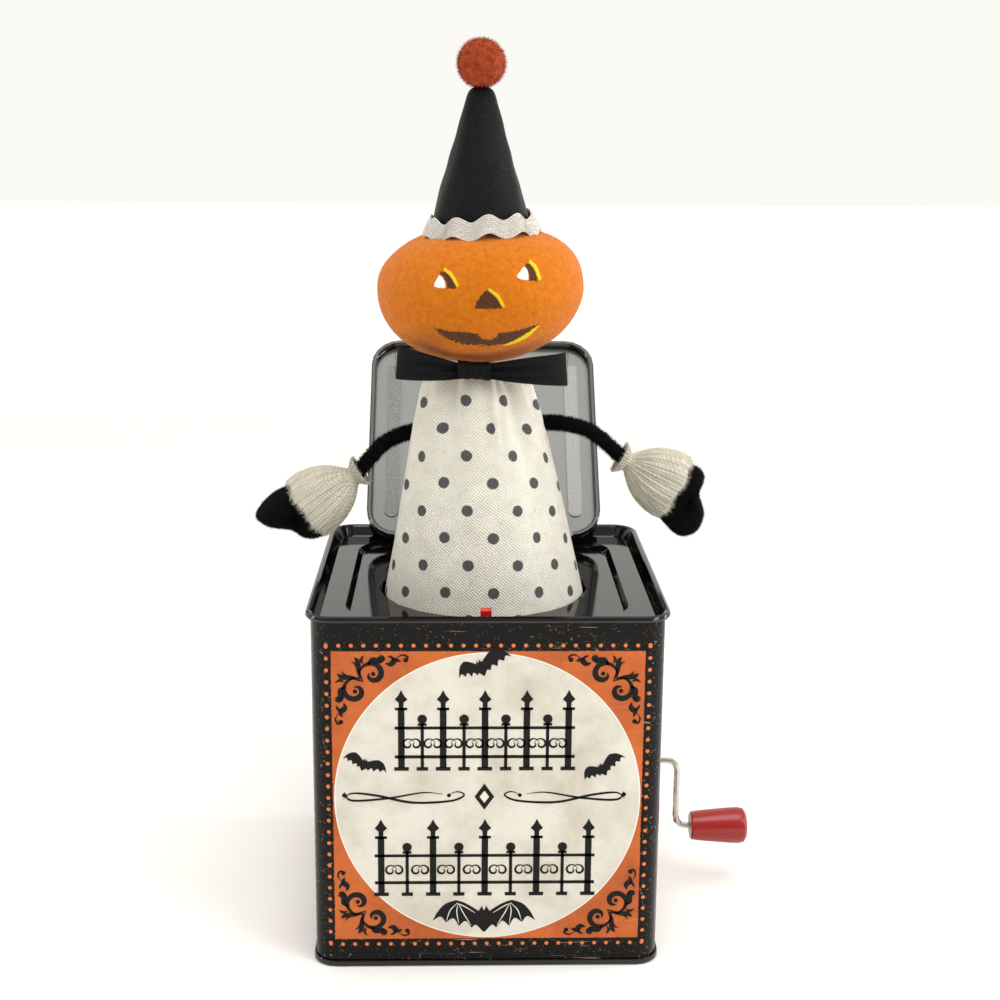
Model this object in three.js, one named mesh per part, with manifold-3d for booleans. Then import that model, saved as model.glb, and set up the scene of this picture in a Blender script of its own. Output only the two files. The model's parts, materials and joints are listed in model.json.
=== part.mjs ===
// A wind-up jack in the box: a printed tin with a hinged lid, a sprung latch, a crank-driven
// musical movement, and a pumpkin-headed cloth doll on a tall coil spring.
// Millimetres, +Z up, front face towards -Y. The origin is the middle of the tin's underside.
import * as THREE from 'three';
import { mergeVertices } from 'three/addons/utils/BufferGeometryUtils.js';
import Module from 'manifold-3d';

const wasm = await Module();
wasm.setup();

// ---------------------------------------------------------------- driving dimensions
const HALF = 70;               // half the tin's outside width and depth
const TIN_CORNER = 9;          // outside radius of its upright corners
const SHEET = 1;               // thickness of the tinplate, drawn a little heavy
const GAP = 0.3;               // clearance between separate pieces that seat on each other
const WALL_TOP = 146.3;        // upper edge of the wrapped wall, under the rolled rim
const RIM_TOP = 149.4;         // top of the rolled rim
const LEDGE = 144.3;           // shelf inside the rim
const FLOOR = 142;             // floor of the recess that the lid lies in
const RECESS_Y = 2;            // the recess and the lid sit this far behind the middle
const LID_HALF = 55;
const LID_CORNER = 14;
const LID_TOP = 147.5;         // outer face of the closed lid
const LID_SKIRT = 142.4;       // lower edge of the closed lid's skirt
const LID_OPEN = 132;          // degrees from closed to the open stop
const HINGE = { y: 57, z: 145.8, pin: 0.7, bore: 1, barrel: 1.8 };   // in the lid's back edge
const HOLE = { x: -1.2, y: -5, r: 43.9 };   // round hole that the doll springs through
const SPRING = { wire: 0.9, turns: 8, low: 3.7, high: 231, lowR: 25, highR: 13.5 };
const DOLL_Y = -5;             // the doll and its spring stand on this line
const CRANK_Z = 59.2;          // height of the crank shaft
const CRANK_THROW = 31.4;      // from the crank shaft down to the knob's axis
const CRANK_R = 1.4;
const GEAR_MODULE = 1;
const PINION_TEETH = 12;
const DRUM_TEETH = 38;
const DRUM_Z = CRANK_Z - GEAR_MODULE * (PINION_TEETH + DRUM_TEETH) / 2;
const HEAD = { x: -3, y: DOLL_Y, z: 269, halfWidth: 42.4, halfDepth: 38, up: 26, down: 29.6 };
const HEAD_ROLL = THREE.MathUtils.degToRad(3.6);
const POMPOM = { x: -3, z: 359.3, r: 10.5 };
const ARM_R = 3.75;
const CORNER_STEPS = 5;        // facets round one corner of the tin

// ---------------------------------------------------------------- materials
function finish(color, roughness, metalness = 0) {
  return new THREE.MeshStandardMaterial({ color, roughness, metalness });
}
const blackEnamel = finish('#0d0d0d', 0.12);
const printedTin = finish('#2a1d18', 0.3);
const bareSteel = finish('#b9b8b2', 0.35, 1);
const nickel = finish('#c9c8c4', 0.18, 1);
const brass = finish('#b9923f', 0.3, 1);
const redEnamel = finish('#b3201a', 0.3);
const redPlastic = finish('#9b1f1b', 0.22);
const birch = finish('#cfae7c', 0.6);
const orangeFelt = finish('#cc6f1e', 0.95);
const blackSatin = finish('#101114', 0.5);
const creamLinen = finish('#dedacd', 0.9);
const creamGauze = finish('#d8d3c4', 0.95);
const rustWool = finish('#9a3e22', 1);
const blackChenille = finish('#0a0a0a', 1);
const blackFelt = finish('#0c0d0f', 1);

// ---------------------------------------------------------------- solids
// Gives a geometry one shared vertex per corner, drops empty triangles and turns its faces outwards.
function closed(geometry) {
  const bare = new THREE.BufferGeometry();
  bare.setAttribute('position', geometry.attributes.position.clone());
  bare.setIndex(geometry.index ? geometry.index.clone() : null);
  const merged = mergeVertices(bare, 1e-4);
  const p = merged.attributes.position;
  const kept = [];
  let volume = 0;
  const [a, b, c] = [new THREE.Vector3(), new THREE.Vector3(), new THREE.Vector3()];
  for (let i = 0; i < merged.index.count; i += 3) {
    const corner = [0, 1, 2].map((k) => merged.index.getX(i + k));
    if (new Set(corner).size < 3) continue;
    kept.push(corner);
    a.fromBufferAttribute(p, corner[0]);
    b.fromBufferAttribute(p, corner[1]);
    c.fromBufferAttribute(p, corner[2]);
    volume += a.dot(b.cross(c));
  }
  if (volume < 0) kept.forEach((corner) => corner.reverse());
  merged.setIndex(kept.flat());
  return merged;
}

function toSolid(geometry) {
  const g = closed(geometry);
  return new wasm.Manifold(new wasm.Mesh({
    numProp: 3,
    vertProperties: new Float32Array(g.attributes.position.array),
    triVerts: new Uint32Array(g.index.array),
  }));
}

function toGeometry(solid) {
  const mesh = solid.getMesh();
  const g = new THREE.BufferGeometry();
  g.setAttribute('position', new THREE.BufferAttribute(new Float32Array(mesh.vertProperties), 3));
  g.setIndex(new THREE.BufferAttribute(new Uint32Array(mesh.triVerts), 1));
  return g;
}

function join(...pieces) {
  return toGeometry(pieces.map(toSolid).reduce((whole, piece) => whole.add(piece)));
}

function cut(piece, ...tools) {
  return toGeometry(tools.map(toSolid).reduce((left, tool) => left.subtract(tool), toSolid(piece)));
}

// A block between two opposite corners.
function block(x0, x1, y0, y1, z0, z1) {
  const g = new THREE.BoxGeometry(x1 - x0, y1 - y0, z1 - z0);
  return g.translate((x0 + x1) / 2, (y0 + y1) / 2, (z0 + z1) / 2);
}

// A profile of [radius, height] points turned about Z. It starts and ends on the axis, or is
// closed back to its first point as the section of a ring.
function turned(profile, segments = 24) {
  const first = profile[0];
  const onAxis = first[0] === 0 && profile[profile.length - 1][0] === 0;
  const points = (onAxis ? profile : [...profile, first]).map(([r, z]) => new THREE.Vector2(r, z));
  return closed(new THREE.LatheGeometry(points, segments).rotateX(Math.PI / 2));
}

// The same, with its axis along X instead of Z.
function turnedX(profile, segments = 24) {
  return turned(profile, segments).rotateY(Math.PI / 2);
}

function rod(radius, from, to, segments = 16) {
  return turned([[0, from], [radius, from], [radius, to], [0, to]], segments);
}

function rodX(radius, from, to, segments = 16) {
  return rod(radius, from, to, segments).rotateY(Math.PI / 2);
}

function washer(inner, outer, from, to, segments = 24) {
  return turned([[inner, from], [outer, from], [outer, to], [inner, to]], segments);
}

// Rings of equally many points, skinned one to the next. A looped stack closes on itself like a
// tube's wall; any other is capped flat at both ends.
function skin(rings, looped = false) {
  const count = rings[0].length;
  const points = rings.flat();
  const index = [];
  const bands = looped ? rings.length : rings.length - 1;
  for (let k = 0; k < bands; k++) {
    const next = (k + 1) % rings.length;
    for (let i = 0; i < count; i++) {
      const j = (i + 1) % count;
      const [p, q, r, s] = [k * count + i, k * count + j, next * count + j, next * count + i];
      index.push(p, q, r, p, r, s);
    }
  }
  if (!looped) {
    for (const [k, flip] of [[0, true], [rings.length - 1, false]]) {
      const middle = rings[k].reduce((sum, v) => sum.add(v), new THREE.Vector3()).divideScalar(count);
      points.push(middle);
      for (let i = 0; i < count; i++) {
        const [p, q] = [k * count + i, k * count + (i + 1) % count];
        index.push(...(flip ? [q, p, points.length - 1] : [p, q, points.length - 1]));
      }
    }
  }
  const g = new THREE.BufferGeometry().setFromPoints(points);
  g.setIndex(index);
  return closed(g);
}

// One level ring of a rounded square.
function squareRing(half, radius, z, cy = 0) {
  const ring = [];
  for (let corner = 0; corner < 4; corner++) {
    const sideX = corner === 0 || corner === 3 ? 1 : -1;
    const sideY = corner < 2 ? 1 : -1;
    for (let step = 0; step <= CORNER_STEPS; step++) {
      const angle = (corner + step / CORNER_STEPS) * Math.PI / 2;
      ring.push(new THREE.Vector3(
        sideX * (half - radius) + radius * Math.cos(angle),
        cy + sideY * (half - radius) + radius * Math.sin(angle), z));
    }
  }
  return ring;
}

// A round ring with as many points as a rounded square's, in the same order.
function roundRing(radius, z, cx = 0, cy = 0) {
  const count = 4 * (CORNER_STEPS + 1);
  return Array.from({ length: count }, (_, i) => {
    const angle = (i + 0.5) / count * 2 * Math.PI;
    return new THREE.Vector3(cx + radius * Math.cos(angle), cy + radius * Math.sin(angle), z);
  });
}

// An upright oval ring about a point, facing along X: half width in Y, half height in Z.
function uprightRing(x, y, z, halfY, halfZ, count = 12) {
  return Array.from({ length: count }, (_, i) => {
    const angle = i / count * 2 * Math.PI;
    const square = (v) => Math.sign(v) * Math.abs(v) ** 0.6;
    return new THREE.Vector3(
      x, y + halfY * square(Math.cos(angle)), z + halfZ * square(Math.sin(angle)));
  });
}

// A round bar of so many sides along a curve. A full arc gets two facets for each curve segment.
function tube(curve, radius, steps, sides = 8) {
  const section = new THREE.Shape();
  section.absarc(0, 0, radius, 0, 2 * Math.PI);
  return closed(new THREE.ExtrudeGeometry(section, {
    steps, curveSegments: sides / 2, bevelEnabled: false, extrudePath: curve }));
}

function plate(shape, depth, curveSegments = 6) {
  return closed(new THREE.ExtrudeGeometry(shape, { depth, bevelEnabled: false, curveSegments }));
}

const group = new THREE.Group();

function add(name, geometry, material, parent = group) {
  const mesh = new THREE.Mesh(geometry, material);
  mesh.name = name;
  parent.add(mesh);
  return mesh;
}

function place(parent, x, y, z) {
  const holder = new THREE.Group();
  holder.position.set(x, y, z);
  parent.add(holder);
  return holder;
}

// ---------------------------------------------------------------- tin
const WALL_FOOT = 1.5;         // lower edge of the wall, standing in the base's curl
const RIVETS = [[24, 18], [-7, 18], [24, 66]];   // [y, z] of the movement's rivets

function tinBody() {
  const inner = HALF - SHEET;
  const wall = skin([
    squareRing(HALF, TIN_CORNER, WALL_FOOT), squareRing(HALF, TIN_CORNER, WALL_TOP),
    squareRing(inner, TIN_CORNER - SHEET, WALL_TOP), squareRing(inner, TIN_CORNER - SHEET, WALL_FOOT),
  ], true);
  const lap = block(-5, 5, HALF - 0.5, HALF + 0.7, 3.2, WALL_TOP - 0.4);
  const holes = RIVETS.map(([y, z]) => rodX(1.8, 60, 80, 10).translate(0, y, z));
  const crankHole = rodX(2.9, 60, 80).translate(0, 0, CRANK_Z);
  return cut(join(wall, lap), crankHole, ...holes);
}

function tinBase() {
  // A flat panel, a raised stiffening groove near its edge, then the curl that the wall stands in.
  return skin([
    squareRing(62.6, 4, 0), squareRing(63.4, 4, 1.2), squareRing(66, 5, 1.2),
    squareRing(66.8, 6, 0), squareRing(70.2, 9, 0), squareRing(70.9, 9.7, 0.7),
    squareRing(70.9, 9.7, 2.1), squareRing(70.6, 9.4, 2.6), squareRing(70.3, 9.3, 2.6),
    squareRing(70.3, 9.3, 1.2), squareRing(67.4, 6.4, 1.2), squareRing(66.7, 5.6, 2.2),
    squareRing(62.8, 4, 2.2), squareRing(62, 4, SHEET),
  ]);
}

const LATCH = { x: -0.9, y: -60.25, z: 12, half: 2.2, strip: 1.5, top: 148.4 };
const KNUCKLE = { outer: 39.5, inner: 29, middle: 8 };   // hinge barrels, by their |x|

function barrel(x0, x1) {
  return rodX(HINGE.barrel, x0, x1, 12).translate(0, HINGE.y, HINGE.z);
}

function topPanel() {
  const r = (half) => TIN_CORNER + half - HALF;
  const recess = (half, radius, z) => squareRing(half, radius, z, RECESS_Y);
  const hole = (radius, z) => roundRing(radius, z, HOLE.x, HOLE.y);
  const sheet = skin([
    squareRing(70.7, r(70.7), WALL_TOP + GAP), squareRing(71.7, r(71.7), 147), squareRing(72.1, r(72.1), 148),
    squareRing(71.7, r(71.7), 149), squareRing(70.7, r(70.7), RIM_TOP), squareRing(69.7, r(69.7), 149),
    squareRing(69, r(69), 148), squareRing(67.7, r(67.7), 145.4), squareRing(66.9, r(66.9), LEDGE),
    recess(57.7, 16, LEDGE), recess(56.3, 14.6, 142.7), recess(55.7, 14, FLOOR),
    hole(HOLE.r + 0.7, FLOOR), hole(HOLE.r, FLOOR - 0.6), hole(HOLE.r, FLOOR - 2.6),
    hole(HOLE.r + 1, FLOOR - 2.6), hole(HOLE.r + 1, FLOOR - SHEET),
    recess(56.4, 14.6, FLOOR - SHEET), recess(58.2, 16, LEDGE - SHEET),
    squareRing(67.6, r(67.6), LEDGE - SHEET), squareRing(68.7, r(68.7), LEDGE),
    squareRing(68.7, r(68.7), WALL_TOP + GAP),
  ], true);
  const latchSlot = block(LATCH.x - 3, LATCH.x + 3, -65.9, -58.7, 140, 150);
  const barrels = [[-KNUCKLE.outer, -KNUCKLE.inner], [-KNUCKLE.middle, KNUCKLE.middle],
    [KNUCKLE.inner, KNUCKLE.outer]];
  const fixed = barrels.flatMap(([x0, x1]) => [
    barrel(x0, x1), block(x0, x1, HINGE.y - 0.9, HINGE.y + 0.9, FLOOR - 0.5, HINGE.z)]);
  return cut(join(sheet, ...fixed), latchSlot,
    rodX(HINGE.bore, -50, 50, 12).translate(0, HINGE.y, HINGE.z));
}

add('tin_body', tinBody(), printedTin);
add('tin_base', tinBase(), blackEnamel);
add('top_panel', topPanel(), blackEnamel);
add('hinge_pin', turnedX([[0, -40.8], [1.4, -40.8], [1.4, -39.9], [HINGE.pin, -39.8],
  [HINGE.pin, 39.8], [1.4, 39.9], [1.4, 40.8], [0, 40.8]], 10).translate(0, HINGE.y, HINGE.z), bareSteel);

// ---------------------------------------------------------------- lid, drawn closed, then opened
// Everything is placed from the hinge's axis, so that one turn of the group opens it.
const lid = place(group, 0, HINGE.y, HINGE.z);
lid.rotation.x = -THREE.MathUtils.degToRad(LID_OPEN);

function lidPanel() {
  const y = RECESS_Y - HINGE.y;
  const ring = (half, z) => squareRing(half, Math.max(LID_CORNER + half - LID_HALF, 2), z - HINGE.z, y);
  const inside = LID_TOP - SHEET;
  const pan = skin([
    ring(53.4, LID_TOP), ring(54.5, LID_TOP - 0.4), ring(LID_HALF, LID_TOP - 1.4),
    ring(LID_HALF, LID_SKIRT + 0.6), ring(54.4, LID_SKIRT), ring(53.2, LID_SKIRT),
    ring(52.6, LID_SKIRT + 0.6), ring(52.6, LID_SKIRT + 1.7), ring(53.8, LID_SKIRT + 2),
    ring(53.8, inside - 0.4), ring(53.2, inside),
  ]);
  // Two shallow pressed ribs with round ends stiffen the panel from the inside.
  const ribs = [-1, 1].map((side) => {
    const rib = new THREE.Shape();
    rib.absarc(0, 39.6, 3.4, 0, Math.PI);
    rib.absarc(0, -39.6, 3.4, Math.PI, 2 * Math.PI);
    return plate(rib, 1).translate(side * 43.5, y, inside - 0.6 - HINGE.z);
  });
  const moving = [[KNUCKLE.middle + 0.4, KNUCKLE.inner - 0.4]].flatMap(([a, b]) => [[a, b], [-b, -a]]);
  const barrels = moving.map(([x0, x1]) => rodX(HINGE.barrel, x0, x1, 12));
  // The skirt is notched for the tin's own barrels and the feet they stand on.
  const fixed = [[-KNUCKLE.outer - 1.7, -KNUCKLE.inner], [-KNUCKLE.middle, KNUCKLE.middle],
    [KNUCKLE.inner, KNUCKLE.outer + 1.7]];
  const notches = fixed.flatMap(([x0, x1]) => [
    rodX(HINGE.barrel + 0.4, x0 - 0.4, x1 + 0.4, 12), block(x0 - 0.4, x1 + 0.4, -2.7, 3, -5, 0)]);
  // A tongue at the front edge goes under the latch.
  const front = y - LID_HALF;
  const tongue = block(LATCH.x - 4, LATCH.x + 4, front - 4.6, front + 0.5, 145.7 - HINGE.z, 146.7 - HINGE.z);
  return cut(join(pan, tongue, ...ribs, ...barrels), ...notches, rodX(HINGE.bore, -50, 50, 12));
}
add('lid_panel', lidPanel(), blackEnamel, lid);

// ---------------------------------------------------------------- latch
const FINGER = { x: 44.2, reach: -15.5, low: 31, high: 37 };

function latchLever() {
  const [front, back] = [LATCH.y - LATCH.strip / 2, LATCH.y + LATCH.strip / 2];
  const [left, right] = [LATCH.x - LATCH.half, LATCH.x + LATCH.half];
  const eye = rodX(2.6, left, right, 14).translate(0, LATCH.y, LATCH.z);
  const stem = block(left, right, front, back, LATCH.z + 1.5, LATCH.top);
  const nose = block(left, right, front, -56.4, LATCH.top - 1.4, LATCH.top);
  const sideArm = block(left, FINGER.x + LATCH.strip, front, back, FINGER.low, FINGER.high);
  const finger = block(FINGER.x, FINGER.x + LATCH.strip, front, FINGER.reach, FINGER.low, FINGER.high);
  return cut(join(stem, eye, nose, sideArm, finger),
    rodX(1.3, -10, 10, 12).translate(0, LATCH.y, LATCH.z));
}

function latchBracket() {
  const foot = block(LATCH.x - 9, LATCH.x + 9, -61.7, -52, SHEET + GAP, SHEET + GAP + 1);
  const ears = [-7.4, 6.2].map((x) => block(
    LATCH.x + x, LATCH.x + x + 1.2, -61.7, -57, SHEET + GAP, 15));
  return cut(join(foot, ...ears), rodX(1.3, -12, 12, 12).translate(0, LATCH.y, LATCH.z));
}

class TorsionSpring extends THREE.Curve {
  getPoint(t) {
    // A straight leg down from the coil, three turns along the pin, and a leg up the lever.
    const turns = 3;
    const leg = 0.2;
    const s = THREE.MathUtils.clamp((t - leg) / (1 - 2 * leg), 0, 1);
    const angle = s * turns * 2 * Math.PI;
    const p = new THREE.Vector3(2.9 + 2.6 * s, 2.3 * Math.cos(angle), 2.3 * Math.sin(angle));
    p.z -= 6 * Math.max(0, (leg - t) / leg);
    p.z += 7 * Math.max(0, (t - 1 + leg) / leg);
    return p;
  }
}

add('latch_lever', latchLever(), redEnamel);
add('latch_bracket', latchBracket(), bareSteel);
add('latch_pin', turnedX([[0, -8.6], [1.9, -8.6], [1.9, -7.7], [1, -7.7], [1, 7.7], [1.9, 7.7],
  [1.9, 8.6], [0, 8.6]], 12).translate(LATCH.x, LATCH.y, LATCH.z), bareSteel);
add('latch_spring', tube(new TorsionSpring(), 0.35, 30, 6).translate(LATCH.x, LATCH.y, LATCH.z), bareSteel);

// ---------------------------------------------------------------- musical movement
// The movement is drawn about the drum's axis: gears and pins turn in its YZ plane.
const FRAME = { inner: 42.5, outer: 67.7, sheet: 1, back: 32 };
const BORE_GAP = 0.3;
const DRUM = { from: 47, to: 60, r: 9, pin: 9.9, shaft: 1.5 };
const drum = place(group, 0, 0, DRUM_Z);
const crank = place(group, 0, 0, CRANK_Z);

function movementFrame() {
  // One bent sheet: two bearing plates, the back that joins them, and the shelf for the comb.
  const bearing = new THREE.Shape();
  bearing.moveTo(FRAME.back + 1, -22);
  bearing.lineTo(FRAME.back + 1, 38);
  bearing.lineTo(0, 38);
  bearing.absarc(0, 25, 10, Math.PI / 2, Math.PI);
  bearing.lineTo(-12, -8);
  bearing.lineTo(-12, -22);
  const upright = () => plate(bearing, FRAME.sheet, 5).rotateX(Math.PI / 2).rotateZ(Math.PI / 2);
  const back = block(FRAME.inner, FRAME.outer + 1, FRAME.back, FRAME.back + 1, -22, 38);
  const shelf = block(46.4, 62, 21.4, FRAME.back + 0.5, -2.7, -1.5);
  const shaftHole = rodX(DRUM.shaft + BORE_GAP, 30, 80);
  const crankHole = rodX(CRANK_R + BORE_GAP, 30, 80).translate(0, 0, CRANK_Z - DRUM_Z);
  const rivets = RIVETS.map(([y, z]) => rodX(1.8, 60, 80, 10).translate(0, y, z - DRUM_Z));
  const screws = [50, 58].map((x) => rod(1.3, -5, 0, 12).translate(x, 27, 0));
  const whole = join(upright().translate(FRAME.inner, 0, 0), upright().translate(FRAME.outer, 0, 0),
    back, shelf);
  return cut(whole, shaftHole, crankHole, ...rivets, ...screws);
}

// A spur gear's outline: involute flanks from a 20 degree rack, cut to a short addendum. A flank has
// the given number of facets: on a large gear the involute is nearly straight.
function gearShape(teeth, bore, phase, facets) {
  const pitch = GEAR_MODULE * teeth / 2;
  const pressure = THREE.MathUtils.degToRad(20);
  const base = pitch * Math.cos(pressure);
  const root = pitch - 1.1 * GEAR_MODULE;
  const tip = pitch + 0.75 * GEAR_MODULE;
  const involute = (angle) => Math.tan(angle) - angle;
  const halfTooth = (Math.PI / 2 - 0.125 / GEAR_MODULE) / teeth;
  const halfAngle = (radius) => halfTooth + involute(pressure) - involute(Math.acos(base / radius));
  const start = Math.max(base, root);
  const radii = Array.from({ length: facets + 1 }, (_, i) => start + (tip - start) * i / facets);
  const at = (radius, angle) => new THREE.Vector2(radius * Math.cos(angle), radius * Math.sin(angle));
  const points = [];
  for (let tooth = 0; tooth < teeth; tooth++) {
    const middle = phase + tooth * 2 * Math.PI / teeth;
    points.push(at(root, middle - halfAngle(start)));
    radii.forEach((radius) => points.push(at(radius, middle - halfAngle(radius))));
    radii.toReversed().forEach((radius) => points.push(at(radius, middle + halfAngle(radius))));
    points.push(at(root, middle + halfAngle(start)));
  }
  const shape = new THREE.Shape(points);
  shape.holes.push(new THREE.Path().absarc(0, 0, bore, 0, 2 * Math.PI, true));
  return shape;
}

function gear(teeth, bore, phase, from, to, facets) {
  return plate(gearShape(teeth, bore, phase, facets), to - from, 8)
    .translate(0, 0, from).rotateY(Math.PI / 2);
}

function musicDrum() {
  const body = turnedX([[DRUM.shaft + BORE_GAP, DRUM.from], [DRUM.r, DRUM.from], [DRUM.r, DRUM.to],
    [DRUM.shaft + BORE_GAP, DRUM.to]], 32);
  // Each track's pins stand at their own places round the drum: a golden-angle walk, as a tune's
  // notes never fall in one line.
  const pins = [];
  const tracks = 12;
  for (let note = 0; note < 36; note++) {
    const track = note * 5 % tracks;
    const pin = rod(0.32, DRUM.r - 0.6, DRUM.pin, 4).rotateX(note * 2.39996);
    pins.push(pin.translate(DRUM.from + 0.9 + track * (DRUM.to - DRUM.from - 1.8) / (tracks - 1), 0, 0));
  }
  return join(body, ...pins);
}

// The snail that trips the latch once in each turn of the drum.
function tripCam() {
  const snail = new THREE.Shape();
  const lobe = 15;
  const foot = 6;
  const steps = 24;
  const points = Array.from({ length: steps + 1 }, (_, i) => {
    const radius = foot + (lobe - foot) * (i / steps) ** 1.6;
    const angle = i / steps * 1.85 * Math.PI;
    return new THREE.Vector2(radius * Math.cos(angle), radius * Math.sin(angle));
  });
  snail.setFromPoints(points);
  snail.holes.push(new THREE.Path().absarc(0, 0, DRUM.shaft + BORE_GAP, 0, 2 * Math.PI, true));
  return plate(snail, 1.4, 8).translate(0, 0, 44.3).rotateY(Math.PI / 2);
}

function musicComb() {
  // Teeth get shorter towards the treble end; each is a slot away from the next.
  const tip = DRUM.pin + 0.2;
  const base = block(46.9, 60.1, 20, 31.4, -0.6, 0.6);
  const tracks = 12;
  const pitch = (DRUM.to - DRUM.from - 1.8) / (tracks - 1);
  const teeth = Array.from({ length: tracks }, (_, i) => {
    const x = DRUM.from + 0.9 + i * pitch;
    return block(x - 0.35, x + 0.35, tip, 20.5 - i * 0.4 + 4, -0.35, 0.35);
  });
  const slots = Array.from({ length: tracks - 1 }, (_, i) => {
    const x = DRUM.from + 0.9 + (i + 0.5) * pitch;
    return block(x - pitch / 2 + 0.35, x + pitch / 2 - 0.35, 19, 20.5 + (tracks - i) * 0.25, -1, 1);
  });
  const screws = [50, 58].map((x) => rod(1.3, -3, 3, 12).translate(x, 27, 0));
  return cut(join(base, ...teeth), ...slots, ...screws);
}

function combScrew() {
  const slot = block(-3, 3, -0.3, 0.3, 1.9, 3);
  return cut(turned([[0, -4.4], [1, -4.4], [1, 0.9], [2.4, 0.9], [2.4, 1.6], [1.6, 2.4], [0, 2.4]], 14), slot);
}

add('movement_frame', movementFrame(), bareSteel, drum);
add('music_comb', musicComb(), bareSteel, drum);
[50, 58].forEach((x, i) => {
  add(`comb_screw_${i + 1}`, combScrew(), brass, drum).position.set(x, 27, 0);
});
RIVETS.forEach(([y, z], i) => {
  const rivet = turnedX([[0, 65.6], [2.2, 65.6], [2.6, 66.2], [2.6, 67.4], [1.5, 67.4], [1.5, 70.3],
    [3.2, 70.3], [2.9, 71.1], [1.8, 71.6], [0, 71.6]], 10);
  add(`movement_rivet_${i + 1}`, rivet, bareSteel).position.set(0, y, z);
});
add('crank_eyelet', turnedX([[1.7, 69], [2.6, 69], [2.6, 70.3], [5, 70.3], [4.8, 70.9], [3.6, 71.4],
  [1.7, 71.4]], 14).translate(0, 0, CRANK_Z), brass);

add('music_drum', musicDrum(), brass, drum);
add('drum_gear', gear(DRUM_TEETH, DRUM.shaft + BORE_GAP, Math.PI / DRUM_TEETH, 61.3, 64.3, 1), brass, drum);
add('drum_shaft', turnedX([[0, 41.2], [DRUM.shaft, 41.2], [DRUM.shaft, 68.8], [0, 68.8]], 12), bareSteel, drum);
add('trip_cam', tripCam(), bareSteel, drum);

// ---------------------------------------------------------------- crank
function crankRod() {
  // In from the inner bearing, out through the wall, down the throw and out again to the knob.
  const [x, bend, low] = [86, 5, -CRANK_THROW];
  const path = new THREE.CurvePath();
  const p = (px, pz) => new THREE.Vector3(px, 0, pz);
  path.add(new THREE.LineCurve3(p(FRAME.inner + 0.1, 0), p(x - bend, 0)));
  path.add(new THREE.QuadraticBezierCurve3(p(x - bend, 0), p(x, 0), p(x, -bend)));
  path.add(new THREE.LineCurve3(p(x, -bend), p(x, low + bend)));
  path.add(new THREE.QuadraticBezierCurve3(p(x, low + bend), p(x, low), p(x + bend, low)));
  path.add(new THREE.LineCurve3(p(x + bend, low), p(112.6, low)));
  return tube(path, CRANK_R, 36, 8);
}

function crankClip() {
  const clip = new THREE.Shape();
  clip.absarc(0, 0, 3.6, 0.35, 2 * Math.PI - 0.35);
  clip.absarc(0, 0, 1.7, 2 * Math.PI - 0.7, 0.7, true);
  return plate(clip, 0.9, 10).translate(0, 0, 65.5).rotateY(Math.PI / 2);
}

add('crank_rod', crankRod(), nickel, crank);
add('drive_pinion', gear(PINION_TEETH, CRANK_R + BORE_GAP, 0, 61.2, 64.4, 2), brass, crank);
add('crank_clip', crankClip(), bareSteel, crank);

const knob = place(crank, 0, 0, -CRANK_THROW);
add('crank_knob', turnedX([[1.7, 92.6], [5.6, 92.6], [6.3, 93.2], [6.9, 98], [7.9, 110], [8.1, 114],
  [7.6, 116.4], [6.2, 117.5], [3.5, 117.8], [0, 117.8], [0, 113.2], [1.7, 113.2], [1.7, 92.6]], 20),
redPlastic, knob);

// ---------------------------------------------------------------- spring, cap and seat
class CoilCurve extends THREE.Curve {
  // A tapering helix whose turns close up towards both ends.
  getPoint(t) {
    const angle = t * SPRING.turns * 2 * Math.PI;
    const rise = t - 0.85 * Math.sin(2 * Math.PI * t) / (2 * Math.PI);
    const radius = SPRING.lowR + (SPRING.highR - SPRING.lowR) * rise;
    return new THREE.Vector3(radius * Math.cos(angle), radius * Math.sin(angle),
      SPRING.low + (SPRING.high - SPRING.low) * rise);
  }
}

const doll = place(group, 0, DOLL_Y, 0);
add('spring_seat', turned([[20, SHEET + GAP], [29, SHEET + GAP], [29, 6], [28, 6], [28, 2.4], [20, 2.4]], 24),
  bareSteel, doll);
add('coil_spring', tube(new CoilCurve(), SPRING.wire, 104, 6), bareSteel, doll);
add('spring_cap', turned([[4.3, 232.3], [14.8, 232.3], [14.8, 229.8], [15.7, 229.8], [15.7, 233.5],
  [4.3, 233.5]], 18), bareSteel, doll);
add('neck_dowel', rod(4, 230.4, 262, 12), birch, doll);

// ---------------------------------------------------------------- head, hat and bow
// Points of the stuffed head by latitude and longitude, rolled a little to the doll's right.
function headGeometry() {
  const [rows, columns] = [10, 22];
  const rings = [];
  for (let row = 1; row < rows; row++) {
    const latitude = (row / rows - 0.5) * Math.PI;
    const power = latitude > 0 ? 0.85 : 1;
    const across = Math.cos(latitude) ** power;
    const up = Math.abs(Math.sin(latitude)) ** power * (latitude > 0 ? HEAD.up : -HEAD.down);
    rings.push(Array.from({ length: columns }, (_, i) => {
      const turn = i / columns * 2 * Math.PI;
      return new THREE.Vector3(
        HEAD.halfWidth * across * Math.cos(turn), HEAD.halfDepth * across * Math.sin(turn), up);
    }));
  }
  const head = skin(rings).rotateY(-HEAD_ROLL).translate(HEAD.x, 0, HEAD.z);
  return cut(head, rod(4.3, 225, 262.6, 12));
}

// A level ring of the hat, tilted with the head at the brim and upright at the tip.
function hatRing(cx, z, radius, tilt, count = 20) {
  return Array.from({ length: count }, (_, i) => {
    const angle = i / count * 2 * Math.PI;
    const across = radius * Math.cos(angle);
    return new THREE.Vector3(cx + across * Math.cos(tilt), radius * Math.sin(angle),
      z + across * Math.sin(tilt));
  });
}

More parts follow.
